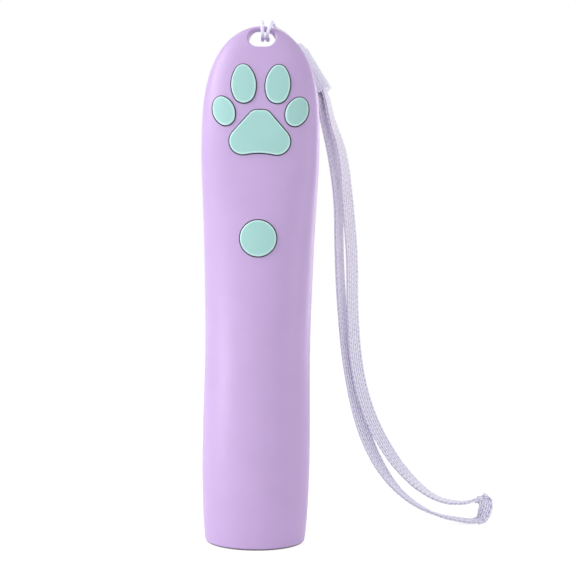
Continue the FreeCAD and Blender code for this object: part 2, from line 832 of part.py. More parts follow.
STRAP_ROUTE = [
    (15.49, 9.6, 120.3),
    (16.25, 9.45, 118.9),
    (17.3, 10.5, 113.5),
    (19.7, 10.8, 103.5),
    (21.5, 11.4, 91.0),
    (21.8, 12.0, 77.0),
    (22.8, 12.9, 62.0),
    (25.0, 13.9, 46.0),
    (28.2, 15.2, 31.0),
    (33.2, 16.8, 18.5),
    (40.8, 18.2, 8.4),
    (50.5, 19.8, 2.6),
    (59.5, 20.6, 0.9),
    (62.2, 20.9, 0.8),
    (64.7, 21.3, 1.1),
    (66.2, 21.7, 6.9),
    (62.9, 21.4, 7.0),
    (59.0, 20.6, 5.8),
    (51.3, 19.0, 7.0),
    (43.4, 17.4, 12.8),
    (36.0, 15.8, 22.0),
    (30.2, 14.2, 33.5),
    (27.0, 12.8, 46.0),
    (25.7, 11.6, 61.0),
    (25.5, 10.8, 76.0),
    (23.9, 9.7, 90.5),
    (22.4, 8.9, 104.0),
    (18.95, 8.6, 113.0),
    (17.7, 9.45, 119.69),
    (16.94, 9.6, 121.09),
]


# Screws

def screw_shape(length):
    """Self-tapping pan-head screw, head up, seated at z = 0."""
    head_radius = size("screw_head_radius")
    head_height = size("screw_head_height")
    shank = Part.makeCylinder(size("screw_radius"), length, Vector(0, 0, -length))
    head = Part.makeCylinder(head_radius, head_height)
    rim = [edge for edge in head.Edges if edge.BoundBox.ZMin > head_height - 1e-6]
    head = head.makeFillet(head_height / 2, rim)
    blade = size("screw_recess_width") / 2
    depth = size("screw_recess_depth")
    bar = slab(Vector(-head_radius * 0.6, -blade, head_height - depth),
               Vector(head_radius * 0.6, blade, head_height + 1))
    across = bar.copy()
    across.rotate(Vector(0, 0, 0), Vector(0, 0, 1), 90)
    return shank.fuse(head).cut([bar, across]).removeSplitter()


def all_screws():
    """The five screws, driven in from the rear."""
    screws = []
    for x, z, seat, length in SCREWS:
        screw = screw_shape(length)
        screw.Placement = Placement(Vector(x, seat, z), BACKWARD)
        screws.append(screw)
    return Part.makeCompound(screws)


# Builders for parametric sub-parts

sub_parts = []


def keep(piece, label):
    """Name a sub-part and put it on the list that is written out."""
    piece.Label = label
    sub_parts.append(piece)
    return piece


def shaped_part(label, shape):
    """Sub-part whose form comes from the functions above."""
    piece = doc.addObject("Part::Feature", label)
    piece.Shape = shape
    return keep(piece, label)


def place(piece, rotation=None, **expressions):
    """Turn a sub-part and tie its place to sheet expressions given by axis letter."""
    piece.Placement = Placement(Vector(0, 0, 0), rotation or Rotation())
    for axis, expression in expressions.items():
        piece.setExpression("Placement.Base." + axis, expression)


def part_body(label, rotation=None, **expressions):
    """Empty body with its label and place."""
    body = doc.addObject("PartDesign::Body", label)
    place(body, rotation, **expressions)
    return keep(body, label)


def sketch_on(body, role, lift=None):
    """Sketch on one of the body's own origin planes, lifted by an expression."""
    sketch = body.newObject("Sketcher::SketchObject", body.Label + "_sketch")
    plane = [feature for feature in body.Origin.OriginFeatures if feature.Role == role][0]
    sketch.AttachmentSupport = [(plane, "")]
    sketch.MapMode = "FlatFace"
    if lift:
        sketch.setExpression("AttachmentOffset.Base.z", lift)
    return sketch


def bind(sketch, kind, places, expression):
    """Add a dimension to a sketch and tie it to an expression."""
    index = sketch.addConstraint(Sketcher.Constraint(kind, *places, worth(expression)))
    sketch.setExpression("Constraints[%d]" % index, expression)


def bind_point(sketch, geometry, end, x, y):
    """Hold a point of a sketch at a place given by two expressions."""
    bind(sketch, "DistanceX", (-1, 1, geometry, end), x)
    bind(sketch, "DistanceY", (-1, 1, geometry, end), y)


def add_polygon(sketch, corners):
    """Closed outline of straight lines through corners given as expressions."""
    points = [Vector(worth(x), worth(y), 0) for x, y in corners]
    first = None
    for start, end in zip(points, points[1:] + points[:1]):
        index = sketch.addGeometry(Part.LineSegment(start, end))
        if first is None:
            first = index
    count = len(points)
    for step in range(count):
        following = first + (step + 1) % count
        sketch.addConstraint(Sketcher.Constraint("Coincident", first + step, 2, following, 1))
    for step, (x, y) in enumerate(corners):
        bind_point(sketch, first + step, 1, x, y)


def add_rectangle(sketch, low_x, low_y, high_x, high_y):
    """Rectangle between two corners given as expressions."""
    add_polygon(sketch, [(low_x, low_y), (high_x, low_y), (high_x, high_y), (low_x, high_y)])


def add_circle(sketch, x, y, radius):
    """Circle with its centre and radius given as expressions."""
    circle = Part.Circle(Vector(worth(x), worth(y), 0), Vector(0, 0, 1), worth(radius))
    index = sketch.addGeometry(circle)
    bind_point(sketch, index, 3, x, y)
    bind(sketch, "Radius", (index,), radius)


def add_ellipse(sketch, half_width, half_depth):
    """Ellipse about the sketch's origin, longer along X."""
    across, along = worth(half_width), worth(half_depth)
    ellipse = Part.Ellipse(Vector(across, 0, 0), Vector(0, along, 0), Vector(0, 0, 0))
    index = sketch.addGeometry(ellipse)
    sketch.exposeInternalGeometry(index)
    sketch.addConstraint(Sketcher.Constraint("Coincident", index, 3, -1, 1))
    sketch.addConstraint(Sketcher.Constraint("Horizontal", index + 1))
    bind(sketch, "Distance", (index + 1,), "2 * (%s)" % half_width)
    bind(sketch, "Distance", (index + 2,), "2 * (%s)" % half_depth)


def add_stadium(sketch, half_length, radius):
    """Slot outline about the sketch's origin, longer along its vertical axis."""
    reach = worth(half_length) - worth(radius)
    end = worth(radius)
    top = Part.ArcOfCircle(Part.Circle(Vector(0, reach, 0), Vector(0, 0, 1), end), 0, math.pi)
    bottom = Part.ArcOfCircle(
        Part.Circle(Vector(0, -reach, 0), Vector(0, 0, 1), end), math.pi, 2 * math.pi)
    left = Part.LineSegment(Vector(-end, reach, 0), Vector(-end, -reach, 0))
    right = Part.LineSegment(Vector(end, -reach, 0), Vector(end, reach, 0))
    arc, line, under, back = (sketch.addGeometry(item) for item in (top, left, bottom, right))
    for one, other in ((arc, line), (line, under), (under, back), (back, arc)):
        sketch.addConstraint(Sketcher.Constraint("Tangent", one, 2, other, 1))
    bind_point(sketch, arc, 3, "0", "(%s) - (%s)" % (half_length, radius))
    bind_point(sketch, under, 3, "0", "(%s) - (%s)" % (radius, half_length))
    bind(sketch, "Radius", (arc,), radius)


def pad(body, sketch, length):
    """Extrude a sketch upwards from its plane."""
    feature = body.newObject("PartDesign::Pad", body.Label + "_pad")
    feature.Profile = sketch
    feature.setExpression("Length", length)
    doc.recompute()
    return feature


def pocket(body, sketch, depth, upwards=False):
    """Cut a sketch into the body, downwards unless told otherwise, and check it cuts."""
    before = body.Shape.Volume
    feature = body.newObject("PartDesign::Pocket", body.Label + "_pocket")
    feature.Profile = sketch
    feature.Reversed = upwards
    feature.setExpression("Length", depth)
    doc.recompute()
    if body.Shape.Volume > before - 1e-4:
        raise ValueError("a pocket of %s cuts nothing" % body.Label)
    return feature


def revolve(body, corners):
    """Turn an outline of (radius, height) expressions round the body's Z axis."""
    sketch = sketch_on(body, "XZ_Plane")
    add_polygon(sketch, corners)
    feature = body.newObject("PartDesign::Revolution", body.Label + "_turned")
    feature.Profile = sketch
    feature.ReferenceAxis = (sketch, ["V_Axis"])
    feature.Angle = 360
    doc.recompute()
    return feature


def edge_names(feature, wanted):
    """Names of the edges of a feature that a test picks."""
    return [
        "Edge%d" % (number + 1)
        for number, edge in enumerate(feature.Shape.Edges) if wanted(edge)
    ]


def round_edges(body, feature, wanted, radius):
    """Fillet the edges of a feature that a test picks."""
    rounding = body.newObject("PartDesign::Fillet", body.Label + "_round")
    rounding.Base = (feature, edge_names(feature, wanted))
    rounding.setExpression("Radius", radius)
    doc.recompute()
    return rounding


def upright(edge):
    """Whether an edge is a straight one along the body's own Z axis."""
    box = edge.BoundBox
    return box.ZLength > 1e-3 and box.XLength < 1e-6 and box.YLength < 1e-6


# Casing and keys

shaped_part("front_shell", front_shell_shape())
shaped_part("rear_shell", rear_shell_shape())

paw_low = paw_level - size("pad_lobe_radius") - 3 * size("key_flange_reach")
paw_high = cavity_top - size("key_flange_clearance")
shaped_part("paw_key", key_shape(
    paw_outlines(0.0), paw_outlines(size("key_flange_reach")), paw_low, paw_high, paw_level))

round_reach = size("round_key_radius") + 3 * size("key_flange_reach")
shaped_part("round_key", key_shape(
    [round_outline(0.0)], [round_outline(size("key_flange_reach"))],
    round_key_level - round_reach, round_key_level + round_reach, round_key_level))

# Nose plate with its collar and lamp sleeves

nose_plate = part_body("nose_plate", z="Sizes.nose_recess")
outline = sketch_on(nose_plate, "XY_Plane")
groove_fit = "Sizes.nose_groove_wall - Sizes.nose_plate_clearance"
add_ellipse(outline, "Sizes.nose_half_width - " + groove_fit, "Sizes.nose_half_depth - " + groove_fit)
pad(nose_plate, outline, "Sizes.nose_plate_thickness")

collar = sketch_on(nose_plate, "XY_Plane")
add_circle(collar, "0", "0", "Sizes.collar_radius")
pad(nose_plate, collar, "Sizes.nose_plate_thickness + Sizes.collar_height")

SLEEVE_BORE = "Sizes.lamp_radius + Sizes.lamp_sleeve_clearance"
for direction in ("-", ""):
    sleeve = sketch_on(nose_plate, "XY_Plane")
    centre = direction + "Sizes.lamp_offset"
    add_circle(sleeve, centre, "0", SLEEVE_BORE + " + Sizes.lamp_sleeve_wall")
    pad(nose_plate, sleeve, "Sizes.lamp_setback + Sizes.lamp_length")

for direction in ("-", ""):
    bore = sketch_on(nose_plate, "XY_Plane")
    add_circle(bore, direction + "Sizes.lamp_offset", "0", SLEEVE_BORE)
    pocket(nose_plate, bore, "Sizes.lamp_setback + Sizes.lamp_length", upwards=True)

beam = sketch_on(nose_plate, "XY_Plane")
add_circle(beam, "0", "0", "Sizes.beam_hole_radius")
pocket(nose_plate, beam, "Sizes.nose_plate_thickness", upwards=True)

window_seat = sketch_on(nose_plate, "XY_Plane")
add_circle(window_seat, "0", "0", "Sizes.window_radius + Sizes.window_clearance")
pocket(nose_plate, window_seat, "Sizes.window_thickness", upwards=True)

tube_seat = sketch_on(nose_plate, "XY_Plane", "Sizes.nose_plate_thickness")
add_circle(tube_seat, "0", "0", "Sizes.barrel_tube_radius + Sizes.collar_clearance")
pocket(nose_plate, tube_seat, "Sizes.collar_height", upwards=True)

laser_window = keep(doc.addObject("Part::Cylinder", "laser_window"), "laser_window")
laser_window.setExpression("Radius", "Sizes.window_radius")
laser_window.setExpression("Height", "Sizes.window_thickness")
place(laser_window, z="Sizes.nose_recess")

# Laser module

TUBE_BASE = "Sizes.nose_recess + Sizes.nose_plate_thickness"
DIODE_SEAT = "Sizes.diode_flange_radius + Sizes.diode_seat_clearance"
laser_barrel = part_body("laser_barrel", z=TUBE_BASE)
revolve(laser_barrel, [
    ("Sizes.barrel_tube_mouth_radius", "0"),
    ("Sizes.barrel_tube_radius", "0"),
    ("Sizes.barrel_tube_radius", "Sizes.barrel_tube_length"),
    (DIODE_SEAT, "Sizes.barrel_tube_length"),
    (DIODE_SEAT, "Sizes.barrel_tube_length - Sizes.diode_flange_thickness"),
    ("Sizes.barrel_tube_bore_radius", "Sizes.barrel_tube_length - Sizes.diode_flange_thickness"),
    ("Sizes.barrel_tube_bore_radius", "Sizes.barrel_tube_mouth_length"),
    ("Sizes.barrel_tube_mouth_radius", "Sizes.barrel_tube_mouth_length"),
])

LENS_SEAT = TUBE_BASE + " + Sizes.barrel_tube_mouth_length"
lens_blank = doc.addObject("Part::Cylinder", "lens_blank")
lens_blank.setExpression("Radius", "Sizes.barrel_tube_bore_radius - Sizes.lens_clearance")
lens_blank.setExpression("Height", "Sizes.lens_thickness")
place(lens_blank, z=LENS_SEAT)
lens_ball = doc.addObject("Part::Sphere", "lens_ball")
lens_ball.setExpression("Radius", "Sizes.lens_dome_radius")
place(lens_ball, z=LENS_SEAT + " + Sizes.lens_thickness - Sizes.lens_dome_radius")
laser_lens = keep(doc.addObject("Part::Common", "laser_lens"), "laser_lens")
laser_lens.Base = lens_blank
laser_lens.Tool = lens_ball

LEG_SPAN = "Sizes.lamp_board_level - ({0})"
diode_level = TUBE_BASE + " + Sizes.barrel_tube_length - Sizes.diode_flange_thickness"
laser_diode = part_body("laser_diode", z=diode_level)
can = sketch_on(laser_diode, "XY_Plane", "-Sizes.diode_can_length")
add_circle(can, "0", "0", "Sizes.diode_can_radius")
pad(laser_diode, can, "Sizes.diode_can_length")
flange = sketch_on(laser_diode, "XY_Plane")
add_circle(flange, "0", "0", "Sizes.diode_flange_radius")
pad(laser_diode, flange, "Sizes.diode_flange_thickness")


def add_legs(body, base):
    """Two square legs that reach up to the underside of the lamp board."""
    for direction in ("-", ""):
        leg = sketch_on(body, "XY_Plane")
        middle = direction + "Sizes.leg_offset"
        add_rectangle(
            leg, middle + " - Sizes.leg_side / 2", "-Sizes.leg_side / 2",
            middle + " + Sizes.leg_side / 2", "Sizes.leg_side / 2")
        pad(body, leg, LEG_SPAN.format(base))


add_legs(laser_diode, diode_level)


# Lamps beside the laser

def make_lamp(label, direction):
    """Round-nosed light-emitting diode, flange up, nose down in its sleeve."""
    base = "Sizes.nose_recess + Sizes.lamp_setback + Sizes.lamp_length"
    lamp = part_body(label, x=direction + "Sizes.lamp_offset", z=base)
    turned = revolve(lamp, [
        ("0", "-Sizes.lamp_length"),
        ("Sizes.lamp_radius", "-Sizes.lamp_length"),
        ("Sizes.lamp_radius", "0"),
        ("Sizes.lamp_flange_radius", "0"),
        ("Sizes.lamp_flange_radius", "Sizes.lamp_flange_thickness"),
        ("0", "Sizes.lamp_flange_thickness"),
    ])
    nose = -size("lamp_length")
    round_edges(
        lamp, turned, lambda edge: edge.BoundBox.ZMax < nose + 1e-6,
        "Sizes.lamp_radius - Sizes.lamp_tip_flat")
    add_legs(lamp, base)


make_lamp("white_lamp", "-")
make_lamp("violet_lamp", "")

# Lamp board

lamp_board = part_body("lamp_board", z="Sizes.lamp_board_level")
blank = sketch_on(lamp_board, "XY_Plane")
add_rectangle(
    blank, "-Sizes.lamp_board_half_width", "-Sizes.lamp_board_half_depth",
    "Sizes.lamp_board_half_width", "Sizes.lamp_board_half_depth")
board_pad = pad(lamp_board, blank, "Sizes.lamp_board_thickness")
round_edges(lamp_board, board_pad, upright, "Sizes.lamp_board_corner_round")

# Main board, facing the keys

BOARD_BACK = "Sizes.board_offset + Sizes.board_thickness"
circuit_board = part_body("circuit_board", FORWARD, y=BOARD_BACK)
blank = sketch_on(circuit_board, "XY_Plane")
add_rectangle(
    blank, "-Sizes.board_half_width", BOARD_BOTTOM, "Sizes.board_half_width", BOARD_TOP)
board_pad = pad(circuit_board, blank, "Sizes.board_thickness")
round_edges(circuit_board, board_pad, upright, "Sizes.board_corner_round")
pin_holes = sketch_on(circuit_board, "XY_Plane")
for level in (BOARD_BOTTOM + " + Sizes.board_post_inset", BOARD_TOP + " - Sizes.board_post_inset"):
    for direction in ("-", ""):
        add_circle(
            pin_holes, direction + "Sizes.board_post_offset", level,
            "Sizes.board_pin_radius + Sizes.board_pin_clearance")
pocket(circuit_board, pin_holes, "Sizes.board_thickness", upwards=True)

control_chip = part_body("control_chip", BACKWARD, y=BOARD_BACK, z=CHIP_LEVEL)
chip_body = sketch_on(control_chip, "XY_Plane")
add_rectangle(
    chip_body, "-Sizes.chip_width / 2", "-Sizes.chip_length / 2",
    "Sizes.chip_width / 2", "Sizes.chip_length / 2")
pad(control_chip, chip_body, "Sizes.chip_height")
chip_legs = sketch_on(control_chip, "XY_Plane")
LEG_ROOT = "Sizes.chip_width / 2"
LEG_TIP = "Sizes.chip_width / 2 + Sizes.chip_leg_reach"
LEG_LOW = "-1.5 * Sizes.chip_leg_pitch - Sizes.chip_leg_width / 2"
LEG_HIGH = "-1.5 * Sizes.chip_leg_pitch + Sizes.chip_leg_width / 2"
add_rectangle(chip_legs, LEG_ROOT, LEG_LOW, LEG_TIP, LEG_HIGH)
add_rectangle(chip_legs, "-(%s)" % LEG_TIP, LEG_LOW, "-(%s)" % LEG_ROOT, LEG_HIGH)
leg_pad = pad(control_chip, chip_legs, "Sizes.chip_leg_thickness")
leg_row = control_chip.newObject("PartDesign::LinearPattern", "chip_leg_row")
leg_row.Originals = [leg_pad]
leg_row.Direction = (chip_legs, ["V_Axis"])
leg_row.Occurrences = 4
leg_row.setExpression("Length", "3 * Sizes.chip_leg_pitch")
control_chip.Tip = leg_row
doc.recompute()

# Charging port on the left edge of the board

PORT_MIDDLE = "Sizes.board_offset - Sizes.port_thickness / 2"
PORT_MOUTH = "-Sizes.board_half_width - Sizes.port_overhang"
charge_port = part_body("charge_port", x=PORT_MOUTH, y=PORT_MIDDLE, z=PORT_LEVEL)
port_outside = sketch_on(charge_port, "YZ_Plane")
add_stadium(port_outside, "Sizes.port_width / 2", "Sizes.port_thickness / 2")
pad(charge_port, port_outside, "Sizes.port_length")
port_inside = sketch_on(charge_port, "YZ_Plane")
add_stadium(
    port_inside, "Sizes.port_width / 2 - Sizes.port_wall", "Sizes.port_thickness / 2 - Sizes.port_wall")
pocket(charge_port, port_inside, "Sizes.port_length - Sizes.port_back_wall", upwards=True)

port_tongue = keep(doc.addObject("Part::Box", "port_tongue"), "port_tongue")
port_tongue.setExpression("Length", "Sizes.port_length - Sizes.port_back_wall - Sizes.tongue_setback")
port_tongue.setExpression("Width", "Sizes.tongue_thickness")
port_tongue.setExpression("Height", "Sizes.tongue_width")
place(
    port_tongue, x=PORT_MOUTH + " + Sizes.tongue_setback",
    y=PORT_MIDDLE + " - Sizes.tongue_thickness / 2", z=PORT_LEVEL + " - Sizes.tongue_width / 2")


# Switches on the main board

def make_switch(label, level):
    """Push switch: a square housing with a chamber and a hole for its stem."""
    housing = part_body(label, FORWARD, y="Sizes.board_offset", z=level)
    square = sketch_on(housing, "XY_Plane")
    half = "Sizes.switch_side / 2"
    add_rectangle(square, "-" + half, "-" + half, half, half)
    block = pad(housing, square, "Sizes.switch_height")
    round_edges(housing, block, upright, "Sizes.switch_corner_round")
    chamber = sketch_on(housing, "XY_Plane")
    add_circle(chamber, "0", "0", "Sizes.chamber_radius")
    pocket(housing, chamber, "Sizes.switch_height - Sizes.switch_cover", upwards=True)
    hole = sketch_on(housing, "XY_Plane")
    add_circle(hole, "0", "0", "Sizes.stem_radius + Sizes.stem_clearance")
    pocket(housing, hole, "Sizes.switch_height", upwards=True)


def make_stem(label, level):
    """Stem of a switch, with the collar that keeps it in the housing."""
    collar_top = "Sizes.switch_height - Sizes.switch_cover - Sizes.stem_clearance"
    collar_bottom = collar_top + " - Sizes.stem_collar_height"
    stem_top = "Sizes.switch_height + Sizes.key_travel + Sizes.stem_spare"
    stem = part_body(label, FORWARD, y="Sizes.board_offset", z=level)
    revolve(stem, [
        ("0", collar_bottom),
        ("Sizes.stem_collar_radius", collar_bottom),
        ("Sizes.stem_collar_radius", collar_top),
        ("Sizes.stem_radius", collar_top),
        ("Sizes.stem_radius", stem_top),
        ("0", stem_top),
    ])


make_switch("paw_switch", PAW_LEVEL)
make_switch("round_switch", ROUND_KEY_LEVEL)
make_stem("paw_switch_stem", PAW_LEVEL)
make_stem("round_switch_stem", ROUND_KEY_LEVEL)

# Cell and its foam pad

battery_cell = part_body("battery_cell", y="Sizes.cell_offset", z="Sizes.cell_bottom")
cell_can = revolve(battery_cell, [
    ("0", "0"),
    ("Sizes.cell_radius", "0"),
    ("Sizes.cell_radius", "Sizes.cell_length"),
    ("Sizes.cell_button_radius", "Sizes.cell_length"),
    ("Sizes.cell_button_radius", "Sizes.cell_length + Sizes.cell_button_height"),
    ("0", "Sizes.cell_length + Sizes.cell_button_height"),
])
can_width = 2 * size("cell_radius") - 1e-3
round_edges(
    battery_cell, cell_can,
    lambda edge: edge.BoundBox.ZLength < 1e-6 and edge.BoundBox.XLength > can_width,
    "Sizes.cell_edge_round")

battery_pad = keep(doc.addObject("Part::Cylinder", "battery_pad"), "battery_pad")
battery_pad.setExpression("Radius", "Sizes.cell_pad_radius")
battery_pad.setExpression("Height", "Sizes.cell_pad_thickness")
place(battery_pad, y="Sizes.cell_offset", z="Sizes.cell_bottom - Sizes.cell_pad_thickness")

# Leads inside the casing

shaped_part("battery_leads", Part.makeCompound([
    tube("cell lead", route, size("lead_radius"))
    for route in (CELL_LEAD_ROUTE, mirrored(CELL_LEAD_ROUTE))
]))
shaped_part("lamp_leads", Part.makeCompound([
    tube("lamp lead", route, size("lead_radius"))
    for route in (LAMP_LEAD_ROUTE, mirrored(LAMP_LEAD_ROUTE))
]))

shaped_part("shell_screws", all_screws())

# Lanyard: clip, thin cord and strap

lanyard_clip = part_body("lanyard_clip")
clip_axis = CLIP_CROWN - CLIP_FOOT
quarter_turn = Rotation(Vector(0, 0, 1), 90)
lanyard_clip.Placement = Placement(
    CLIP_FOOT, Rotation(Vector(0, 0, 1), clip_axis).multiply(quarter_turn))
crown_rise = clip_axis.Length
sections = []
for name, lift in (
        ("foot", None),
        ("shoulder", "%f - Sizes.clip_crown_slope" % crown_rise),
        ("crown", "%f" % crown_rise)):
    section = sketch_on(lanyard_clip, "XY_Plane", lift)
    add_stadium(section, "Sizes.clip_%s_width / 2" % name, "Sizes.clip_%s_thickness / 2" % name)
    sections.append(section)
doc.recompute()
clip_loft = lanyard_clip.newObject("PartDesign::AdditiveLoft", "clip_loft")
clip_loft.Profile = sections[0]
clip_loft.Sections = sections[1:]
clip_loft.Ruled = True
doc.recompute()

shaped_part("lanyard_cord", tube("lanyard cord", LANYARD_ROUTE, size("cord_radius")))
shaped_part("wrist_strap", tube("wrist strap", STRAP_ROUTE, size("strap_radius")))

# Checks, then one file for each sub-part

doc.recompute()
for item in doc.Objects:
    if "Invalid" in item.State or "Error" in item.State:
        raise ValueError("%s has failed: %s" % (item.Label, item.State))
os.makedirs("parts", exist_ok=True)
for piece in sub_parts:
    shape = piece.Shape
    if shape.isNull() or not shape.isValid() or shape.Volume <= 0:
        raise ValueError("%s has no valid solid" % piece.Label)
    shape.exportStep("parts/%s.step" % piece.Label)
    print(piece.Label, "solids", len(shape.Solids), "volume", round(shape.Volume, 2))
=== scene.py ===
"""Cat laser pointer in a plain studio: lilac casing, mint keys, thin cord and knitted wrist strap.

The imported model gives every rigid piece. This file dresses those pieces, and makes the twisted
cord and the knitted tape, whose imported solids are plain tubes. All lengths are in metres.
"""

from __future__ import annotations

import logging
import math
from dataclasses import dataclass
from enum import Enum

import bpy
from mathutils import Matrix, Vector

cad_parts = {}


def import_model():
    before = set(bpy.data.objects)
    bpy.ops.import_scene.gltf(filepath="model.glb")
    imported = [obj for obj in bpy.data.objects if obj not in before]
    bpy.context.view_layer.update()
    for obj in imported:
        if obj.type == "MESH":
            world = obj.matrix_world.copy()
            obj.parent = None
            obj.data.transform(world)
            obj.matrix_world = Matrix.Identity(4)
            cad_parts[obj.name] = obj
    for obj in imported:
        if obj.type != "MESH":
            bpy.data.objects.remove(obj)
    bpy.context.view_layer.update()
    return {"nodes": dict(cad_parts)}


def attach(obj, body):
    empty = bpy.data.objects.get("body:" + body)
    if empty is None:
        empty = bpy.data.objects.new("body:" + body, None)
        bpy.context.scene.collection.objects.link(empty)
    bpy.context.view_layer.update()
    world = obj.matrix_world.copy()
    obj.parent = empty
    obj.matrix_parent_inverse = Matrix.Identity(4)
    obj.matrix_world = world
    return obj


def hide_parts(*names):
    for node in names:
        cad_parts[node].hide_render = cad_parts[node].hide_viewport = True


log = logging.getLogger("cat_laser_pointer")

Colour = tuple[float, float, float]
Point = tuple[float, float, float]
Span = tuple[float, float]
Socket = bpy.types.NodeSocket

MM = 0.001
HANDLE = "handle"
CLIP = "lanyard_clip"
YARN_SHADE = "yarn_shade"
WHITE: Colour = (1.0, 1.0, 1.0)


def linear(red: int, green: int, blue: int) -> Colour:
    """Turn a colour as a screen shows it into the linear values that shaders take.

    Args:
        red: Red from 0 to 255.
        green: Green from 0 to 255.
        blue: Blue from 0 to 255.

    Returns:
        The same colour in linear light.
    """

    def channel(level: int) -> float:
        """One channel in linear light, by the standard curve of screens."""
        share = level / 255
        return share / 12.92 if share <= 0.04045 else ((share + 0.055) / 1.055) ** 2.4

    return (channel(red), channel(green), channel(blue))


def shade(colour: Colour, factor: float) -> Colour:
    """Make a colour lighter or darker by one factor, kept at 1 or below."""
    red, green, blue = (min(1.0, part * factor) for part in colour)
    return (red, green, blue)


class Arithmetic(Enum):
    """What an arithmetic node does."""

    ABSOLUTE = "ABSOLUTE"
    ADD = "ADD"
    DIVIDE = "DIVIDE"
    MAXIMUM = "MAXIMUM"
    MULTIPLY = "MULTIPLY"
    SINE = "SINE"


class Axis(Enum):
    """One coordinate of a place."""

    Y = "Y"
    Z = "Z"


class NodeBench:
    """Adds nodes to one tree and joins them, for shaders and geometry alike."""

    # A mix node has sockets for numbers, vectors and colours, and these are the colours'
    FIRST_COLOUR = 6
    SECOND_COLOUR = 7
    MIXED_COLOUR = 2

    def __init__(self, tree: bpy.types.NodeTree) -> None:
        """Start on an empty tree."""
        self.tree = tree
        self.tree.nodes.clear()

    def add(self, kind: str, settings: dict | None = None, **inputs: object) -> bpy.types.Node:
        """Add a node.

        Args:
            kind: The node's type name.
            settings: Properties to set on the node itself.
            inputs: Values or sockets for its inputs, by name with underscores for spaces.

        Returns:
            The new node.
        """
        node = self.tree.nodes.new(kind)
        for name, value in (settings or {}).items():
            setattr(node, name, value)
        for name, value in inputs.items():
            self.feed(node, name.replace("_", " "), value)
        return node

    def feed(self, node: bpy.types.Node, name: str | int, value: object) -> None:
        """Set or join one input of a node.

        Args:
            node: The node that takes the value.
            name: The input's name or number.
            value: A number, a vector, a text, or another node's output socket.
        """
        socket = node.inputs[name]
        if isinstance(value, Socket):
            self.tree.links.new(value, socket)
        elif isinstance(value, tuple) and len(value) == 3 and len(socket.default_value) == 4:
            socket.default_value = (*value, 1.0)
        else:
            socket.default_value = value

    def math(self, operation: Arithmetic, first: object, second: object = 0.0) -> Socket:
        """Add an arithmetic node and give its output."""
        node = self.add("ShaderNodeMath", {"operation": operation.value})
        self.feed(node, 0, first)
        self.feed(node, 1, second)
        return node.outputs[0]

    def dot(self, first: object, second: object) -> Socket:
        """Add a dot product of two vectors and give its value."""
        node = self.add("ShaderNodeVectorMath", {"operation": "DOT_PRODUCT"})
        self.feed(node, 0, first)
        self.feed(node, 1, second)
        return node.outputs["Value"]

    def spread(
        self, value: object, low: float, high: float, to_low: float = 0.0, to_high: float = 1.0
    ) -> Socket:
        """Map a value from one range to another, eased between the ends and held at them.

        Args:
            value: The value.
            low: Where its range starts.
            high: Where its range ends.
            to_low: What it becomes at the start.
            to_high: What it becomes at the end.

        Returns:
            The mapped value.
        """
        eased = {"interpolation_type": "SMOOTHSTEP"}
        ends = {"From_Min": low, "From_Max": high, "To_Min": to_low, "To_Max": to_high}
        return self.add("ShaderNodeMapRange", eased, Value=value, **ends).outputs["Result"]

    def blend(self, share: object, first: object, second: object) -> Socket:
        """Mix two colours: a share of 0 gives the first, and 1 the second."""
        node = self.add("ShaderNodeMix", {"data_type": "RGBA"})
        self.feed(node, 0, share)
        self.feed(node, self.FIRST_COLOUR, first)
        self.feed(node, self.SECOND_COLOUR, second)
        return node.outputs[self.MIXED_COLOUR]


class ShaderBench(NodeBench):
    """A node bench for a material with one main surface shader."""

    # The part of its range that a cloudy pattern really fills
    FILLED: Span = (0.3, 0.7)

    def __init__(self, name: str) -> None:
        """Make the material and its surface shader."""
        self.material = bpy.data.materials.new(name)
        self.material.use_nodes = True
        super().__init__(self.material.node_tree)
        self.surface = self.add("ShaderNodeBsdfPrincipled")
        self.add("ShaderNodeOutputMaterial", Surface=self.surface.outputs[0])

    def place(self) -> Socket:
        """Give the object's own coordinates, in which patterns are measured."""
        return self.add("ShaderNodeTexCoord").outputs["Object"]

    def coordinate(self, axis: Axis) -> Socket:
        """Give one of those coordinates."""
        return self.add("ShaderNodeSeparateXYZ", Vector=self.place()).outputs[axis.value]

    def noise(self, size: float, detail: float, along: Point | None = None) -> Socket:
        """Give a cloudy pattern.

        Args:
            size: How large its lumps are, in metres.
            detail: How many finer layers it has.
            along: A factor along each axis that stretches the coordinates, or None.

        Returns:
            The pattern's value, about 0.5 in the middle.
        """
        where = self.place()
        if along:
            where = self.add("ShaderNodeMapping", Vector=where, Scale=along).outputs[0]
        node = self.add("ShaderNodeTexNoise", Vector=where, Scale=1 / size, Detail=detail)
        return node.outputs[0]

    def graded(self, pattern: Socket, low: float, high: float) -> Socket:
        """Turn a cloudy pattern into values from low to high."""
        return self.spread(pattern, *self.FILLED, low, high)

    def toned(self, share: Socket, colour: Colour, tones: Span) -> Socket:
        """Vary a colour by a pattern, between two factors of itself."""
        low, high = tones
        return self.blend(share, shade(colour, low), shade(colour, high))

    def relief(self, height: Socket, depth: float) -> None:
        """Raise the surface by a pattern, on top of any relief it has.

        Args:
            height: The pattern, from 0 to 1.
            depth: How far 1 stands above 0, in metres.
        """
        bump = self.add("ShaderNodeBump", Height=height, Distance=depth, Strength=1.0)
        earlier = self.surface.inputs["Normal"].links
        if earlier:
            self.feed(bump, "Normal", earlier[0].from_socket)
        self.feed(self.surface, "Normal", bump.outputs[0])

    def fixed(self, **values: object) -> None:
        """Set the surface shader's own sockets, by name with underscores for spaces."""
        for name, value in values.items():
            self.feed(self.surface, name.replace("_", " "), value)


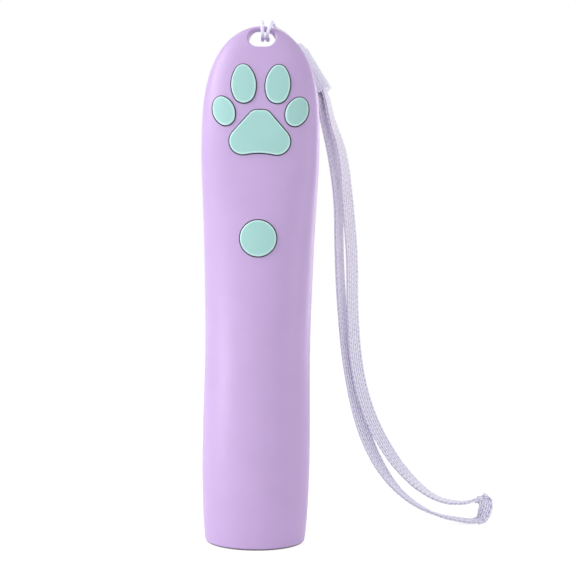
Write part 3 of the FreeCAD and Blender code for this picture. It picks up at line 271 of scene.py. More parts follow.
@dataclass(frozen=True)
class Finish:
    """What a piece is made of. Each kind of finish draws its own surface."""

    name: str

    def draw(self, bench: ShaderBench) -> None:
        """Draw the surface.

        Args:
            bench: The material's bench.
        """
        raise NotImplementedError

    def material(self) -> bpy.types.Material:
        """Make the material."""
        bench = ShaderBench(self.name)
        self.draw(bench)
        return bench.material


@dataclass(frozen=True)
class MouldedPlastic(Finish):
    """Injection-moulded plastic with the fine even grain of its mould.

    The parting line, the reach of the painted shade in seams and the width of the painted highlight
    on edges are in metres, and 0 leaves them out.
    Tones are factors of the colour.
    """

    colour: Colour
    roughness: float = 0.4
    grain: float = 0.22 * MM
    parting_line: float = 0.0
    scatter: float = 0.0
    # Reach of the painted shade in seams, and width of the painted highlight on edges
    seam_shade_reach: float = 0.0
    painted_edge_highlight: float = 0.0
    roughness_play: Span = (-0.03, 0.04)
    grain_depth: float = 0.004 * MM
    cloud: float = 9 * MM
    cloud_middle: Span = (0.35, 0.65)
    cloud_tones: Span = (0.985, 1.01)
    groove_floor: float = 0.35
    groove_depth: float = 0.05 * MM
    groove_tone: float = 0.42
    # How far an edge turns, and how pale it is painted, for the painted highlight
    highlight_turn: Span = (0.96, 0.9995)
    highlight_tone: float = 2.2
    # Openness and tone of the painted shade in seams
    seam_openness: Span = (0.4, 0.92)
    seam_shade_tone: float = 0.06
    samples: int = 6
    scatter_colour: Colour = (1.0, 0.9, 1.0)
    scatter_reach: float = 0.8 * MM

    def edges(self, bench: ShaderBench, colour: Socket) -> Socket:
        """Paint a highlight on rounded edges and paint shade into narrow seams.

        Args:
            bench: The material's bench.
            colour: The colour on plain faces.

        Returns:
            The colour everywhere.
        """
        count = {"samples": self.samples}
        # Painted highlight: rounded edges are made paler, as where they catch the light
        if self.painted_edge_highlight:
            rounded = bench.add("ShaderNodeBevel", count, Radius=self.painted_edge_highlight)
            true_normal = bench.add("ShaderNodeNewGeometry").outputs["Normal"]
            turn = bench.dot(rounded.outputs[0], true_normal)
            plain = bench.spread(turn, *self.highlight_turn)
            colour = bench.blend(plain, shade(self.colour, self.highlight_tone), colour)
        # Painted shade: narrow seams and gaps are darkened, as where little light gets in
        if self.seam_shade_reach:
            sky = bench.add("ShaderNodeAmbientOcclusion", count, Distance=self.seam_shade_reach)
            clear = bench.spread(sky.outputs["AO"], *self.seam_openness)
            colour = bench.blend(clear, shade(self.colour, self.seam_shade_tone), colour)
        return colour

    def draw(self, bench: ShaderBench) -> None:
        """Draw mottled colour, grain, the parting line, a painted highlight on edges and painted
        shade in seams.
        """
        cloud = bench.spread(bench.noise(self.cloud, 3.0), *self.cloud_middle)
        colour = bench.toned(cloud, self.colour, self.cloud_tones)
        grain = bench.noise(self.grain, 3.0)
        bench.relief(grain, self.grain_depth)
        if self.parting_line:
            away = bench.math(Arithmetic.ABSOLUTE, bench.coordinate(Axis.Y))
            floor = self.groove_floor * self.parting_line
            groove = bench.spread(away, floor, self.parting_line)
            colour = bench.blend(groove, shade(self.colour, self.groove_tone), colour)
            bench.relief(groove, self.groove_depth)
        smoother, rougher = (self.roughness + play for play in self.roughness_play)
        bench.fixed(
            Base_Color=self.edges(bench, colour),
            Roughness=bench.graded(grain, smoother, rougher),
            IOR=1.5,
            Subsurface_Weight=self.scatter,
            Subsurface_Radius=self.scatter_colour,
            Subsurface_Scale=self.scatter_reach,
        )


@dataclass(frozen=True)
class WorkedMetal(Finish):
    """Turned, drawn or plated metal with fine marks along one axis."""

    colour: Colour
    roughness: float = 0.3
    along: Point = (1.0, 1.0, 0.06)
    mark: float = 0.12 * MM
    mark_depth: float = 0.002 * MM
    tones: Span = (0.88, 1.06)
    roughness_play: Span = (-0.06, 0.1)

    def draw(self, bench: ShaderBench) -> None:
        """Draw tool marks in the relief, the colour and the roughness."""
        marks = bench.noise(self.mark, 2.0, self.along)
        bench.relief(marks, self.mark_depth)
        smoother, rougher = (self.roughness + play for play in self.roughness_play)
        bench.fixed(
            Base_Color=bench.toned(bench.graded(marks, 0.0, 1.0), self.colour, self.tones),
            Roughness=bench.graded(marks, smoother, rougher),
            Metallic=1.0,
        )


@dataclass(frozen=True)
class ClearResin(Finish):
    """Clear moulded resin or glass, with a very slight waviness."""

    colour: Colour
    roughness: float = 0.05
    clearness: float = 0.9
    wave: float = 1.4 * MM
    wave_depth: float = 0.004 * MM
    tones: Span = (0.95, 1.0)
    haze: float = 0.05

    def draw(self, bench: ShaderBench) -> None:
        """Draw it nearly clear, with soft waves and a faint cloud in its colour."""
        waves = bench.noise(self.wave, 1.0)
        bench.relief(waves, self.wave_depth)
        bench.fixed(
            Base_Color=bench.toned(waves, self.colour, self.tones),
            Roughness=bench.graded(waves, self.roughness, self.roughness + self.haze),
            Transmission_Weight=self.clearness,
            IOR=1.5,
        )


@dataclass(frozen=True)
class CoatedLaminate(Finish):
    """Circuit board: woven laminate under a green coat, with copper tracks showing through."""

    colour: Colour = linear(30, 92, 58)
    track_pitch: float = 2.86 * MM
    track_disorder: float = 0.55
    track_edge: Span = (0.05, 0.09)
    track_depth: float = 0.02 * MM
    track_tones: Span = (1.0, 1.7)
    weave: float = 0.25 * MM
    weave_depth: float = 0.003 * MM
    roughness: Span = (0.28, 0.38)

    def draw(self, bench: ShaderBench) -> None:
        """Draw tracks as a cell pattern, and the weave as fine relief."""
        cells = bench.add(
            "ShaderNodeTexVoronoi",
            {"feature": "DISTANCE_TO_EDGE", "distance": "MANHATTAN"},
            Vector=bench.place(),
            Scale=1 / self.track_pitch,
            Randomness=self.track_disorder,
        )
        track = bench.spread(cells.outputs[0], *self.track_edge, 1.0, 0.0)
        weave = bench.noise(self.weave, 1.0)
        bench.relief(track, self.track_depth)
        bench.relief(weave, self.weave_depth)
        bench.fixed(
            Base_Color=bench.toned(track, self.colour, self.track_tones),
            Roughness=bench.graded(weave, *self.roughness),
            Coat_Weight=0.4,
            Coat_Roughness=0.15,
        )


@dataclass(frozen=True)
class CellFoam(Finish):
    """Soft black foam with open cells."""

    colour: Colour = linear(48, 48, 52)
    pit: float = 0.35 * MM
    pit_depth: float = 0.12 * MM
    pit_wall: Span = (0.1, 0.6)
    # Painted shade: the bottom of a pit is darkened by the lower factor
    tones: Span = (0.5, 1.0)
    roughness: Span = (0.85, 0.98)

    def draw(self, bench: ShaderBench) -> None:
        """Draw round pits, with painted shade at their bottoms."""
        cells = bench.add("ShaderNodeTexVoronoi", Vector=bench.place(), Scale=1 / self.pit)
        pits = cells.outputs[0]
        bench.relief(pits, self.pit_depth)
        share = bench.spread(pits, *self.pit_wall)
        bench.fixed(
            # Painted shade in the pits
            Base_Color=bench.toned(share, self.colour, self.tones),
            Roughness=bench.spread(pits, 0.0, self.pit_wall[1], *self.roughness),
        )


@dataclass(frozen=True)
class ShrinkFilm(Finish):
    """Thin glossy film shrunk on a cell, wrinkled, with a plain band at each end."""

    colour: Colour = linear(74, 126, 172)
    plain: Colour = linear(196, 198, 202)
    low: float = 26 * MM
    high: float = 62 * MM
    fade: float = 0.2 * MM
    wrinkle: float = 1.1 * MM
    along: Point = (1.0, 1.0, 0.35)
    wrinkle_depth: float = 0.05 * MM
    roughness: Span = (0.2, 0.32)

    def draw(self, bench: ShaderBench) -> None:
        """Draw a plain band at each end, and small wrinkles all round."""
        height = bench.coordinate(Axis.Z)
        above = bench.spread(height, self.low, self.low + self.fade)
        below = bench.spread(height, self.high, self.high + self.fade, 1.0, 0.0)
        band = bench.math(Arithmetic.MULTIPLY, above, below)
        wrinkles = bench.noise(self.wrinkle, 3.0, self.along)
        bench.relief(wrinkles, self.wrinkle_depth)
        bench.fixed(
            Base_Color=bench.blend(band, self.plain, self.colour),
            Roughness=bench.graded(wrinkles, *self.roughness),
            Coat_Weight=0.3,
        )


@dataclass(frozen=True)
class Sheathing(Finish):
    """Soft sheath of a thin lead, slightly ribbed by the wires inside."""

    colour: Colour = linear(176, 52, 46)
    rib: float = 0.3 * MM
    along: Point = (1.0, 1.0, 0.15)
    rib_depth: float = 0.01 * MM
    tones: Span = (0.85, 1.1)
    roughness: Span = (0.42, 0.55)

    def draw(self, bench: ShaderBench) -> None:
        """Draw long soft ribs in the relief, the colour and the roughness."""
        ribs = bench.noise(self.rib, 1.0, self.along)
        bench.relief(ribs, self.rib_depth)
        bench.fixed(
            Base_Color=bench.toned(ribs, self.colour, self.tones),
            Roughness=bench.graded(ribs, *self.roughness),
        )


@dataclass(frozen=True)
class Yarn(Finish):
    """Bright filament yarn: fine fibres, a soft sheen and a little shade from stitch to stitch."""

    low_colour: Colour
    high_colour: Colour
    # Heights over which the painted shade changes from the low colour to the high one
    low: float = 25 * MM
    high: float = 95 * MM
    fibre: float = 0.11 * MM
    along: Point = (1.0, 1.0, 0.45)
    fibre_depth: float = 0.008 * MM
    fibre_share: float = 0.5
    paleness: float = 0.35
    unevenness: float = 0.3
    roughness: Span = (0.5, 0.65)
    sheen_tint: Colour = (0.85, 0.84, 1.0)

    def draw(self, bench: ShaderBench) -> None:
        """Draw fibres in the relief, and painted shade with a painted reflected tint that change
        with height towards the clip.
        """
        fibres = bench.noise(self.fibre, 2.0, self.along)
        bench.relief(fibres, self.fibre_depth)
        # Painted shade and reflected tint: the colour changes with height, towards the clip
        painted_height_shade = bench.spread(bench.coordinate(Axis.Z), self.low, self.high)
        colour = bench.blend(painted_height_shade, self.low_colour, self.high_colour)
        own = bench.add("ShaderNodeAttribute", {"attribute_name": YARN_SHADE}).outputs["Fac"]
        fine = bench.math(Arithmetic.MULTIPLY, fibres, self.fibre_share)
        uneven = bench.math(Arithmetic.ADD, own, fine)
        share = bench.math(Arithmetic.MULTIPLY, uneven, self.unevenness)
        pale = bench.blend(self.paleness, colour, WHITE)
        bench.fixed(
            Base_Color=bench.blend(share, colour, pale),
            Roughness=bench.graded(fibres, *self.roughness),
            Sheen_Weight=0.4,
            Sheen_Roughness=0.5,
            Sheen_Tint=self.sheen_tint,
        )


@dataclass(frozen=True)
class FlutedMoulding(Finish):
    """Milky plastic with fine flutes along the piece."""

    colour: Colour
    across: Point = (0.880, 0.0, 0.475)
    pitch: float = 0.85 * MM
    depth: float = 0.09 * MM
    # Painted shade: the valleys of the flutes are darkened by the lower factor
    tones: Span = (0.93, 1.0)
    grain: float = 0.3 * MM
    grain_depth: float = 0.003 * MM
    roughness: Span = (0.3, 0.38)
    scatter_reach: float = 0.8 * MM

    def draw(self, bench: ShaderBench) -> None:
        """Draw flutes as waves across the piece, with painted shade in their valleys."""
        place = bench.dot(bench.place(), self.across)
        turn = bench.math(Arithmetic.MULTIPLY, place, math.tau / self.pitch)
        crest_and_valley_shade = bench.spread(bench.math(Arithmetic.SINE, turn), -1.0, 1.0)
        grain = bench.noise(self.grain, 2.0)
        bench.relief(crest_and_valley_shade, self.depth)
        bench.relief(grain, self.grain_depth)
        bench.fixed(
            # Painted shade in the valleys, paler on the crests
            Base_Color=bench.toned(crest_and_valley_shade, self.colour, self.tones),
            Roughness=bench.graded(grain, *self.roughness),
            IOR=1.46,
            Sheen_Weight=0.4,
            Subsurface_Weight=0.8,
            Subsurface_Radius=WHITE,
            Subsurface_Scale=self.scatter_reach,
        )


LILAC = linear(192, 165, 212)
MINT = linear(161, 207, 203)
YARN_PALE = linear(238, 237, 252)
# The yarn near the clip, with painted shade and a painted tint reflected from the body
YARN_TOP_PAINTED_SHADE = linear(242, 237, 251)
# Darker core yarn, painted shade seen between the stitches
YARN_SHADED_GROUND = linear(186, 173, 208)


@dataclass
class Assembly:
    """A sub-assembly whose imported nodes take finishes."""

    nodes: dict[str, bpy.types.Object]

    def dress(self) -> None:
        """Give every piece of the sub-assembly its finish."""
        raise NotImplementedError

    def put(self, finish: Finish, *names: str) -> None:
        """Put one finish on the named nodes.

        Args:
            finish: What they are made of.
            names: The nodes.
        """
        material = finish.material()
        for name in names:
            mesh = self.nodes[name].data
            mesh.materials.clear()
            mesh.materials.append(material)
            log.info("%s is finished in %s", name, material.name)


@dataclass
class Casing(Assembly):
    """The two shells of the body and the screws that join them."""

    parting_line: float = 0.11 * MM
    # Reach of the painted shade that darkens narrow gaps in the shells
    seam_shade_reach: float = 0.8 * MM

    def dress(self) -> None:
        """Finish the shells in satin lilac and the screws in plated steel."""
        plastic = MouldedPlastic(
            "lilac_moulding",
            LILAC,
            roughness=0.38,
            parting_line=self.parting_line,
            scatter=0.12,
            seam_shade_reach=self.seam_shade_reach,
        )
        self.put(plastic, "front_shell", "rear_shell")
        steel = WorkedMetal(
            "plated_screw_steel", linear(200, 200, 204), roughness=0.28, along=(1.0, 0.1, 1.0)
        )
        self.put(steel, "shell_screws")


@dataclass
class Keys(Assembly):
    """The paw key, the round key and the switches behind them."""

    # Reach of the painted shade in the gaps round the keys, and width of the painted highlight on
    # their rounded edges
    seam_shade_reach: float = 0.8 * MM
    painted_edge_highlight: float = 0.6 * MM

    def dress(self) -> None:
        """Finish the keys in soft mint and the switches in black and grey mouldings."""
        mint = MouldedPlastic(
            "mint_moulding",
            MINT,
            roughness=0.45,
            scatter=0.15,
            seam_shade_reach=self.seam_shade_reach,
            painted_edge_highlight=self.painted_edge_highlight,
        )
        self.put(mint, "paw_key", "round_key")
        black = MouldedPlastic("black_switch_moulding", linear(42, 42, 46), roughness=0.5)
        self.put(black, "paw_switch", "round_switch")
        grey = MouldedPlastic("grey_stem_moulding", linear(186, 184, 180), roughness=0.45)
        self.put(grey, "paw_switch_stem", "round_switch_stem")


@dataclass
class LightEnd(Assembly):
    """The recessed plate at the foot, with the laser module and the two lamps."""

    def dress(self) -> None:
        """Finish the plate, window, laser module, lamps and their board."""
        plate = MouldedPlastic("pale_plate_moulding", linear(205, 200, 216), roughness=0.42)
        self.put(plate, "nose_plate")
        window = ClearResin("clear_window", linear(236, 240, 244), roughness=0.03)
        self.put(window, "laser_window", "laser_lens")
        brass = WorkedMetal(
            "turned_brass", linear(214, 178, 106), roughness=0.26, along=(0.5, 0.5, 4.0)
        )
        self.put(brass, "laser_barrel")
        gilt = WorkedMetal("gilt_diode_can", linear(222, 198, 140), roughness=0.22)
        self.put(gilt, "laser_diode")
        lamp = {"roughness": 0.08, "clearness": 0.75}
        clear = ClearResin("clear_lamp_resin", linear(238, 240, 240), **lamp)
        self.put(clear, "white_lamp")
        violet = ClearResin("violet_lamp_resin", linear(196, 184, 232), **lamp)
        self.put(violet, "violet_lamp")
        self.put(CoatedLaminate("lamp_board_laminate"), "lamp_board")


@dataclass
class Electronics(Assembly):
    """The main board with its chip, port and leads, and the cell."""

    def dress(self) -> None:
        """Finish the board, chip, port, cell, pad and leads."""
        self.put(CoatedLaminate("main_board_laminate"), "circuit_board")
        chip = MouldedPlastic("chip_epoxy", linear(34, 34, 38), roughness=0.6, grain=0.1 * MM)
        self.put(chip, "control_chip")
        sheet = WorkedMetal(
            "drawn_port_sheet", linear(206, 207, 210), roughness=0.25, along=(0.08, 1.0, 1.0)
        )
        self.put(sheet, "charge_port")
        tongue = MouldedPlastic("black_tongue_moulding", linear(38, 38, 42), roughness=0.45)
        self.put(tongue, "port_tongue")
        self.put(ShrinkFilm("cell_film"), "battery_cell")
        self.put(CellFoam("pad_foam"), "battery_pad")
        self.put(Sheathing("lead_sheath"), "battery_leads", "lamp_leads")


@dataclass
class LanyardClip(Assembly):
    """The pale ferrule between the thin cord and the strap."""

    def dress(self) -> None:
        """Finish the clip in milky fluted plastic."""
        plastic = FlutedMoulding("milky_clip_moulding", linear(236, 234, 252))
        self.put(plastic, CLIP)


def show(name: str, data: bpy.types.ID) -> bpy.types.Object:
    """Put a mesh, curve, camera or lamp in the scene as an object of its own."""
    data.name = name
    item = bpy.data.objects.new(name, data)
    bpy.context.scene.collection.objects.link(item)
    return item


def read_mesh(item: bpy.types.Object) -> bpy.types.Mesh:
    """Give a plain mesh of an object as it now looks."""
    graph = bpy.context.evaluated_depsgraph_get()
    graph.update()
    return bpy.data.meshes.new_from_object(item.evaluated_get(graph), depsgraph=graph)


def running_lengths(points: list[Vector]) -> list[float]:
    """Distance from the first point to each point along a line."""
    lengths = [0.0]
    for before, after in zip(points, points[1:]):
        lengths.append(lengths[-1] + (after - before).length)
    return lengths


def between(stations: list[float], values: list[Vector], station: float) -> Vector:
    """Value at a station along a line, straight between the stated ones.

    Args:
        stations: Rising positions of the stated values.
        values: The stated values.
        station: Where the value is wanted.

    Returns:
        The value there.
    """
    index = 0
    while index < len(stations) - 2 and stations[index + 1] < station:
        index += 1
    span = stations[index + 1] - stations[index]
    share = min(1.0, max(0.0, (station - stations[index]) / span))
    return values[index].lerp(values[index + 1], share)


class SmoothLine:
    """The smooth line of a cord or tape, drawn through the control points of its route."""

    # How much longer than its chord the line may be from one control point to the next
    DETOUR = 1.3

    def __init__(self, name: str, route: tuple[Point, ...], resolution: int = 16) -> None:
        """Make the spline and read the points it passes through.

        Args:
            name: What the line is for.
            route: Its control points.
            resolution: How finely each stretch is drawn.
        """
        curve = bpy.data.curves.new(name, "CURVE")
        curve.dimensions = "3D"
        curve.resolution_u = resolution
        spline = curve.splines.new("NURBS")
        spline.points.add(len(route) - 1)
        for point, place in zip(spline.points, route):
            point.co = (*place, 1.0)
        spline.order_u = 3
        spline.use_endpoint_u = True
        self.item = show(name, curve)
        self.points = [vertex.co.copy() for vertex in read_mesh(self.item).vertices]
        self.route = [Vector(place) for place in route]

    @property
    def length(self) -> float:
        """Length along the line."""
        return running_lengths(self.points)[-1]

    def marks(self) -> list[float]:
        """Distance along the line at which it passes each control point, in rising order."""
        lengths = running_lengths(self.points)
        found = [0.0]
        index = 0
        for before, place in zip(self.route, self.route[1:]):
            reach = lengths[index] + self.DETOUR * (place - before).length
            near = [
                number
                for number in range(index + 1, len(lengths))
                if lengths[number] <= reach or number == index + 1
            ] or [index]
            index = min(near, key=lambda number: (self.points[number] - place).length)
            found.append(lengths[index])
        found[-1] = lengths[-1]
        return found

    def discard(self) -> None:
        """Take the spline out of the scene once its line has been read."""
        curve = self.item.data
        bpy.data.objects.remove(self.item)
        bpy.data.curves.remove(curve)


@dataclass
class TapeStation:
    """One place on a tape: its middle, the way it runs and the way it faces."""

    middle: Vector
    along: Vector
    outward: Vector

    @property
    def across(self) -> Vector:
        """Direction across the tape."""
        return self.along.cross(self.outward).normalized()


class GeometryBench(NodeBench):
    """A node bench for a geometry tree with named inputs."""

    def __init__(self, name: str, sizes: dict[str, float]) -> None:
        """Make the tree.

        Args:
            name: Name of the tree.
            sizes: Its named inputs with their values.
        """
        super().__init__(bpy.data.node_groups.new(name, "GeometryNodeTree"))
        face = self.tree.interface
        face.new_socket("Geometry", in_out="INPUT", socket_type="NodeSocketGeometry")
        face.new_socket("Geometry", in_out="OUTPUT", socket_type="NodeSocketGeometry")
        self.sizes = sizes
        self.sockets = {}
        for size in sizes:
            socket = face.new_socket(size, in_out="INPUT", socket_type="NodeSocketFloat")
            self.sockets[size] = socket.identifier
        self.given = self.add("NodeGroupInput")
        self.taken = self.add("NodeGroupOutput")

    def size(self, name: str) -> Socket:
        """Give the named input."""
        return self.given.outputs[name]

    def vector(self, x: object = 0.0, y: object = 0.0, z: object = 0.0) -> Socket:
        """Make a vector of three values."""
        return self.add("ShaderNodeCombineXYZ", X=x, Y=y, Z=z).outputs[0]

    def attribute(self, name: str) -> Socket:
        """Read a stored vector."""
        vector = {"data_type": "FLOAT_VECTOR"}
        node = self.add("GeometryNodeInputNamedAttribute", vector, Name=name)
        return node.outputs["Attribute"]

    def finish(self, geometry: Socket, material: bpy.types.Material) -> None:
        """End the tree: smooth shading, real geometry and the material."""
        real = self.add("GeometryNodeRealizeInstances", Geometry=geometry)
        smooth = self.add("GeometryNodeSetShadeSmooth", Geometry=real.outputs[0])
        dressed = self.add(
            "GeometryNodeSetMaterial", Geometry=smooth.outputs[0], Material=material
        )
        self.feed(self.taken, "Geometry", dressed.outputs[0])

    def grow(self, item: bpy.types.Object) -> bpy.types.Mesh:
        """Run the tree on an object and give the result as a plain mesh."""
        modifier = item.modifiers.new(self.tree.name, "NODES")
        modifier.node_group = self.tree
        for name, value in self.sizes.items():
            modifier[self.sockets[name]] = value
        mesh = read_mesh(item)
        item.modifiers.remove(modifier)
        return mesh


@dataclass
class LanyardCord:
    """Thin twisted cord: through the eye, round the bridge, and down into the clip."""

    clip: bpy.types.Object
    width: float = 1.0 * MM
    strands: int = 3
    strand_share: float = 0.27
    strand_sides: int = 8
    lay_length: float = 2.6 * MM
    sample: float = 0.22 * MM
    route: tuple[Point, ...] = (
        (0.00903, 0.01155, 0.13374), (0.00860, 0.01163, 0.13453),
        (0.00460, 0.01060, 0.13640), (0.00050, 0.00760, 0.13720),
        (-0.00010, 0.00220, 0.13700), (0.00000, -0.00260, 0.13700),
        (0.00015, -0.00275, 0.13320), (0.00010, 0.00390, 0.13320),
        (-0.00040, 0.00620, 0.13460), (0.00180, 0.00620, 0.13460),
        (0.00135, 0.00390, 0.13320), (0.00125, -0.00275, 0.13320),
        (0.00260, -0.00260, 0.13700), (0.00300, 0.00220, 0.13700),
        (0.00380, 0.00640, 0.13720), (0.00620, 0.00900, 0.13660),
        (0.00855, 0.01054, 0.13462), (0.00898, 0.01045, 0.13383),
    )

    def strand_tree(self, material: bpy.types.Material) -> GeometryBench:
        """Make the tree that winds the strands round the cord's line.

        Args:
            material: The thread's material.

        Returns:
            The tree, ready to run.
        """
        strand = self.strand_share * self.width
        bench = GeometryBench(
            "twisted_cord",
            {
                "Sample": self.sample,
                "Strand Radius": strand,
                "Strand Offset": self.width / 2 - strand,
                "Turns per Metre": 1 / self.lay_length,
            },
        )
        line = bench.add(
            "GeometryNodeResampleCurve",
            {"mode": "LENGTH"},
            Curve=bench.given.outputs["Geometry"],
            Length=bench.size("Sample"),
        )
        copies = bench.add(
            "GeometryNodeDuplicateElements",
            {"domain": "SPLINE"},
            Geometry=line.outputs[0],
            Amount=self.strands,
        )
        far = bench.add("GeometryNodeSplineParameter").outputs["Length"]
        turns = bench.math(Arithmetic.MULTIPLY, far, bench.size("Turns per Metre"))
        number = copies.outputs["Duplicate Index"]
        start = bench.math(Arithmetic.DIVIDE, number, float(self.strands))
        wound_turns = bench.math(Arithmetic.ADD, turns, start)
        away = bench.add(
            "ShaderNodeVectorRotate",
            {"rotation_type": "AXIS_ANGLE"},
            Vector=bench.add("GeometryNodeInputNormal").outputs[0],
            Axis=bench.add("GeometryNodeInputTangent").outputs[0],
            Angle=bench.math(Arithmetic.MULTIPLY, wound_turns, math.tau),
        )
        offset = bench.add("ShaderNodeVectorMath", {"operation": "SCALE"})
        bench.feed(offset, 0, away.outputs[0])
        bench.feed(offset, "Scale", bench.size("Strand Offset"))
        wound = bench.add(
            "GeometryNodeSetPosition", Geometry=copies.outputs[0], Offset=offset.outputs[0]
        )
        ring = bench.add(
            "GeometryNodeCurvePrimitiveCircle",
            Resolution=self.strand_sides,
            Radius=bench.size("Strand Radius"),
        )
        parts = {"Curve": wound.outputs[0], "Profile_Curve": ring.outputs[0], "Fill_Caps": True}
        tubes = bench.add("GeometryNodeCurveToMesh", **parts)
        bench.finish(tubes.outputs[0], material)
        return bench

    def build(self) -> None:
        line = SmoothLine("lanyard_line", self.route)
        material = Yarn("lanyard_thread", YARN_PALE, YARN_PALE).material()
        cord = show("lanyard_twist", self.strand_tree(material).grow(line.item))
        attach(cord, HANDLE)
        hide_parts("lanyard_cord")
        line.length
        log.info("lanyard cord is %.1f mm long", line.length / MM)
        line.discard()


@dataclass
class WristStrap:
    """Knitted tape that hangs from the clip as one long loop.

    A stitch's length is a share of the pitch and its yarn's width a share of a column. The shift
    of its two legs is a share of the yarn's width.
    """

    width: float = 4.0 * MM
    thickness: float = 0.95 * MM
    line_resolution: int = 24
    tangent_reach: float = 0.4 * MM
    core_step: float = 0.7 * MM
    core_points: int = 12
    core_side_inset: float = 0.25 * MM
    core_face_inset: float = 0.2 * MM
    core_roundness: float = 0.5
    columns: int = 3
    pitch: float = 1.4 * MM
    stitch_inset: float = 0.24 * MM
    stitch_length: float = 1.55
    yarn_width: float = 0.47
    yarn_thickness: float = 0.44 * MM
    stitch_lean: float = math.radians(8)
    leg_shift: float = 0.53
    leg_segments: int = 6
    leg_rings: int = 4
    shade_seed: int = 7
    route: tuple[Point, ...] = (
        (0.01549, 0.00960, 0.12030), (0.01625, 0.00945, 0.11890),
        (0.01730, 0.01050, 0.11350), (0.01970, 0.01080, 0.10350),
        (0.02150, 0.01140, 0.09100), (0.02180, 0.01200, 0.07700),
        (0.02280, 0.01290, 0.06200), (0.02500, 0.01390, 0.04600),
        (0.02820, 0.01520, 0.03100), (0.03320, 0.01680, 0.01850),
        (0.04080, 0.01820, 0.00840), (0.05050, 0.01980, 0.00260),
        (0.05950, 0.02060, 0.00090), (0.06220, 0.02090, 0.00080),
        (0.06470, 0.02130, 0.00110), (0.06620, 0.02170, 0.00690),
        (0.06290, 0.02140, 0.00700), (0.05900, 0.02060, 0.00580),
        (0.05130, 0.01900, 0.00700), (0.04340, 0.01740, 0.01280),
        (0.03600, 0.01580, 0.02200), (0.03020, 0.01420, 0.03350),
        (0.02700, 0.01280, 0.04600), (0.02570, 0.01160, 0.06100),
        (0.02550, 0.01080, 0.07600), (0.02390, 0.00970, 0.09050),
        (0.02240, 0.00890, 0.10400), (0.01895, 0.00860, 0.11300),
        (0.01770, 0.00945, 0.11969), (0.01694, 0.00960, 0.12109),
    )
    facings: tuple[Point, ...] = (
        (0.8, -0.57, 0.2), (0.78, -0.62, 0.0),
        (0.76, -0.65, 0.0), (0.79, -0.61, 0.0),
        (0.82, -0.57, 0.0), (0.82, -0.57, 0.0),
        (0.8, -0.6, 0.0), (0.5, -0.86, 0.1),
        (0.36, -0.9, 0.25), (0.42, -0.72, 0.55),
        (0.58, -0.25, 0.78), (0.2, 0.1, 0.97),
        (0.0, 0.0, 1.0), (0.0, 0.05, 1.0),
        (-0.3, -0.3, 0.9), (0.1, -0.97, -0.2),
        (-0.2, -0.4, -0.9), (0.0, -0.12, -1.0),
        (-0.3, 0.15, -0.94), (-0.42, 0.56, -0.71),
        (-0.38, 0.82, -0.42), (-0.4, 0.88, -0.25),
        (-0.48, 0.87, -0.1), (-0.6, 0.8, 0.0),
        (-0.6, 0.8, 0.0), (-0.6, 0.8, 0.0),
        (-0.8, 0.6, 0.0), (-0.9, 0.43, 0.0),
        (-0.93, 0.37, 0.0), (-0.93, 0.3, -0.2),
    )

    def stations(self, line: SmoothLine, step: float) -> list[TapeStation]:
        """Set out even places along the tape.

        Args:
            line: The tape's middle line.
            step: Distance between places.

        Returns:
            The places, from the clip round the loop and back.
        """
        lengths = running_lengths(line.points)
        marks = line.marks()
        ways = [Vector(facing).normalized() for facing in self.facings]
        count = round(lengths[-1] / step)
        spacing = lengths[-1] / count
        places = []
        for number in range(count + 1):
            here = number * spacing
            middle = between(lengths, line.points, here)
            after = min(lengths[-1], here + self.tangent_reach)
            before = max(0.0, here - self.tangent_reach)
            ahead = between(lengths, line.points, after)
            behind = between(lengths, line.points, before)
            along = (ahead - behind).normalized()
            facing = between(marks, ways, here)
            outward = (facing - along * facing.dot(along)).normalized()
            places.append(TapeStation(middle, along, outward))
        return places

    def core(self, line: SmoothLine, material: bpy.types.Material) -> bpy.types.Mesh:
        """Make the tape's solid core, a flat band with round edges, whose darker yarn is painted
        shade between the stitches.

        Args:
            line: The tape's middle line.
            material: The yarn's material.

        Returns:
            The closed mesh.
        """
        half = self.width / 2 - self.core_side_inset
        depth = self.thickness / 2 - self.core_face_inset
        vertices = []
        places = self.stations(line, self.core_step)
        for place in places:
            for number in range(self.core_points):
                angle = math.tau * number / self.core_points
                bulge = abs(math.cos(angle)) ** self.core_roundness
                wide = half * math.copysign(bulge, math.cos(angle))
                thick = depth * math.sin(angle)
                vertices.append(place.middle + place.across * wide + place.outward * thick)
        faces = []
        for row in range(len(places) - 1):
            for number in range(self.core_points):
                following = (number + 1) % self.core_points
                low, high = row * self.core_points, (row + 1) * self.core_points
                faces.append((low + number, low + following, high + following, high + number))
        last = (len(places) - 1) * self.core_points
        faces.append(tuple(reversed(range(self.core_points))))
        faces.append(tuple(range(last, last + self.core_points)))
        mesh = bpy.data.meshes.new("tape_core")
        mesh.from_pydata(vertices, [], faces)
        mesh.shade_smooth()
        mesh.materials.append(material)
        shades = mesh.attributes.new(YARN_SHADE, "FLOAT", "POINT")
        shades.data.foreach_set("value", [0.0] * len(vertices))
        return mesh

    def stitch_sites(self, line: SmoothLine) -> bpy.types.Mesh:
        """Set out one point for each stitch, with the way it runs and faces.

        Args:
            line: The tape's middle line.

        Returns:
            A mesh of points.
        """
        spacing = self.width / self.columns
        points = []
        alongs = []
        outwards = []
        for row, place in enumerate(self.stations(line, self.pitch / 2)):
            for column in range(self.columns):
                if (row + column) % 2:
                    continue
                offset = (column - (self.columns - 1) / 2) * spacing
                for side in (-1, 1):
                    rise = side * (self.thickness / 2 - self.stitch_inset)
                    points.append(place.middle + place.across * offset + place.outward * rise)
                    alongs.append(place.along)
                    outwards.append(place.outward * side)
        mesh = bpy.data.meshes.new("stitch_sites")
        mesh.from_pydata(points, [], [])
        for name, values in (("along", alongs), ("outward", outwards)):
            stored = mesh.attributes.new(name, "FLOAT_VECTOR", "POINT")
            stored.data.foreach_set("vector", [part for value in values for part in value])
        return mesh

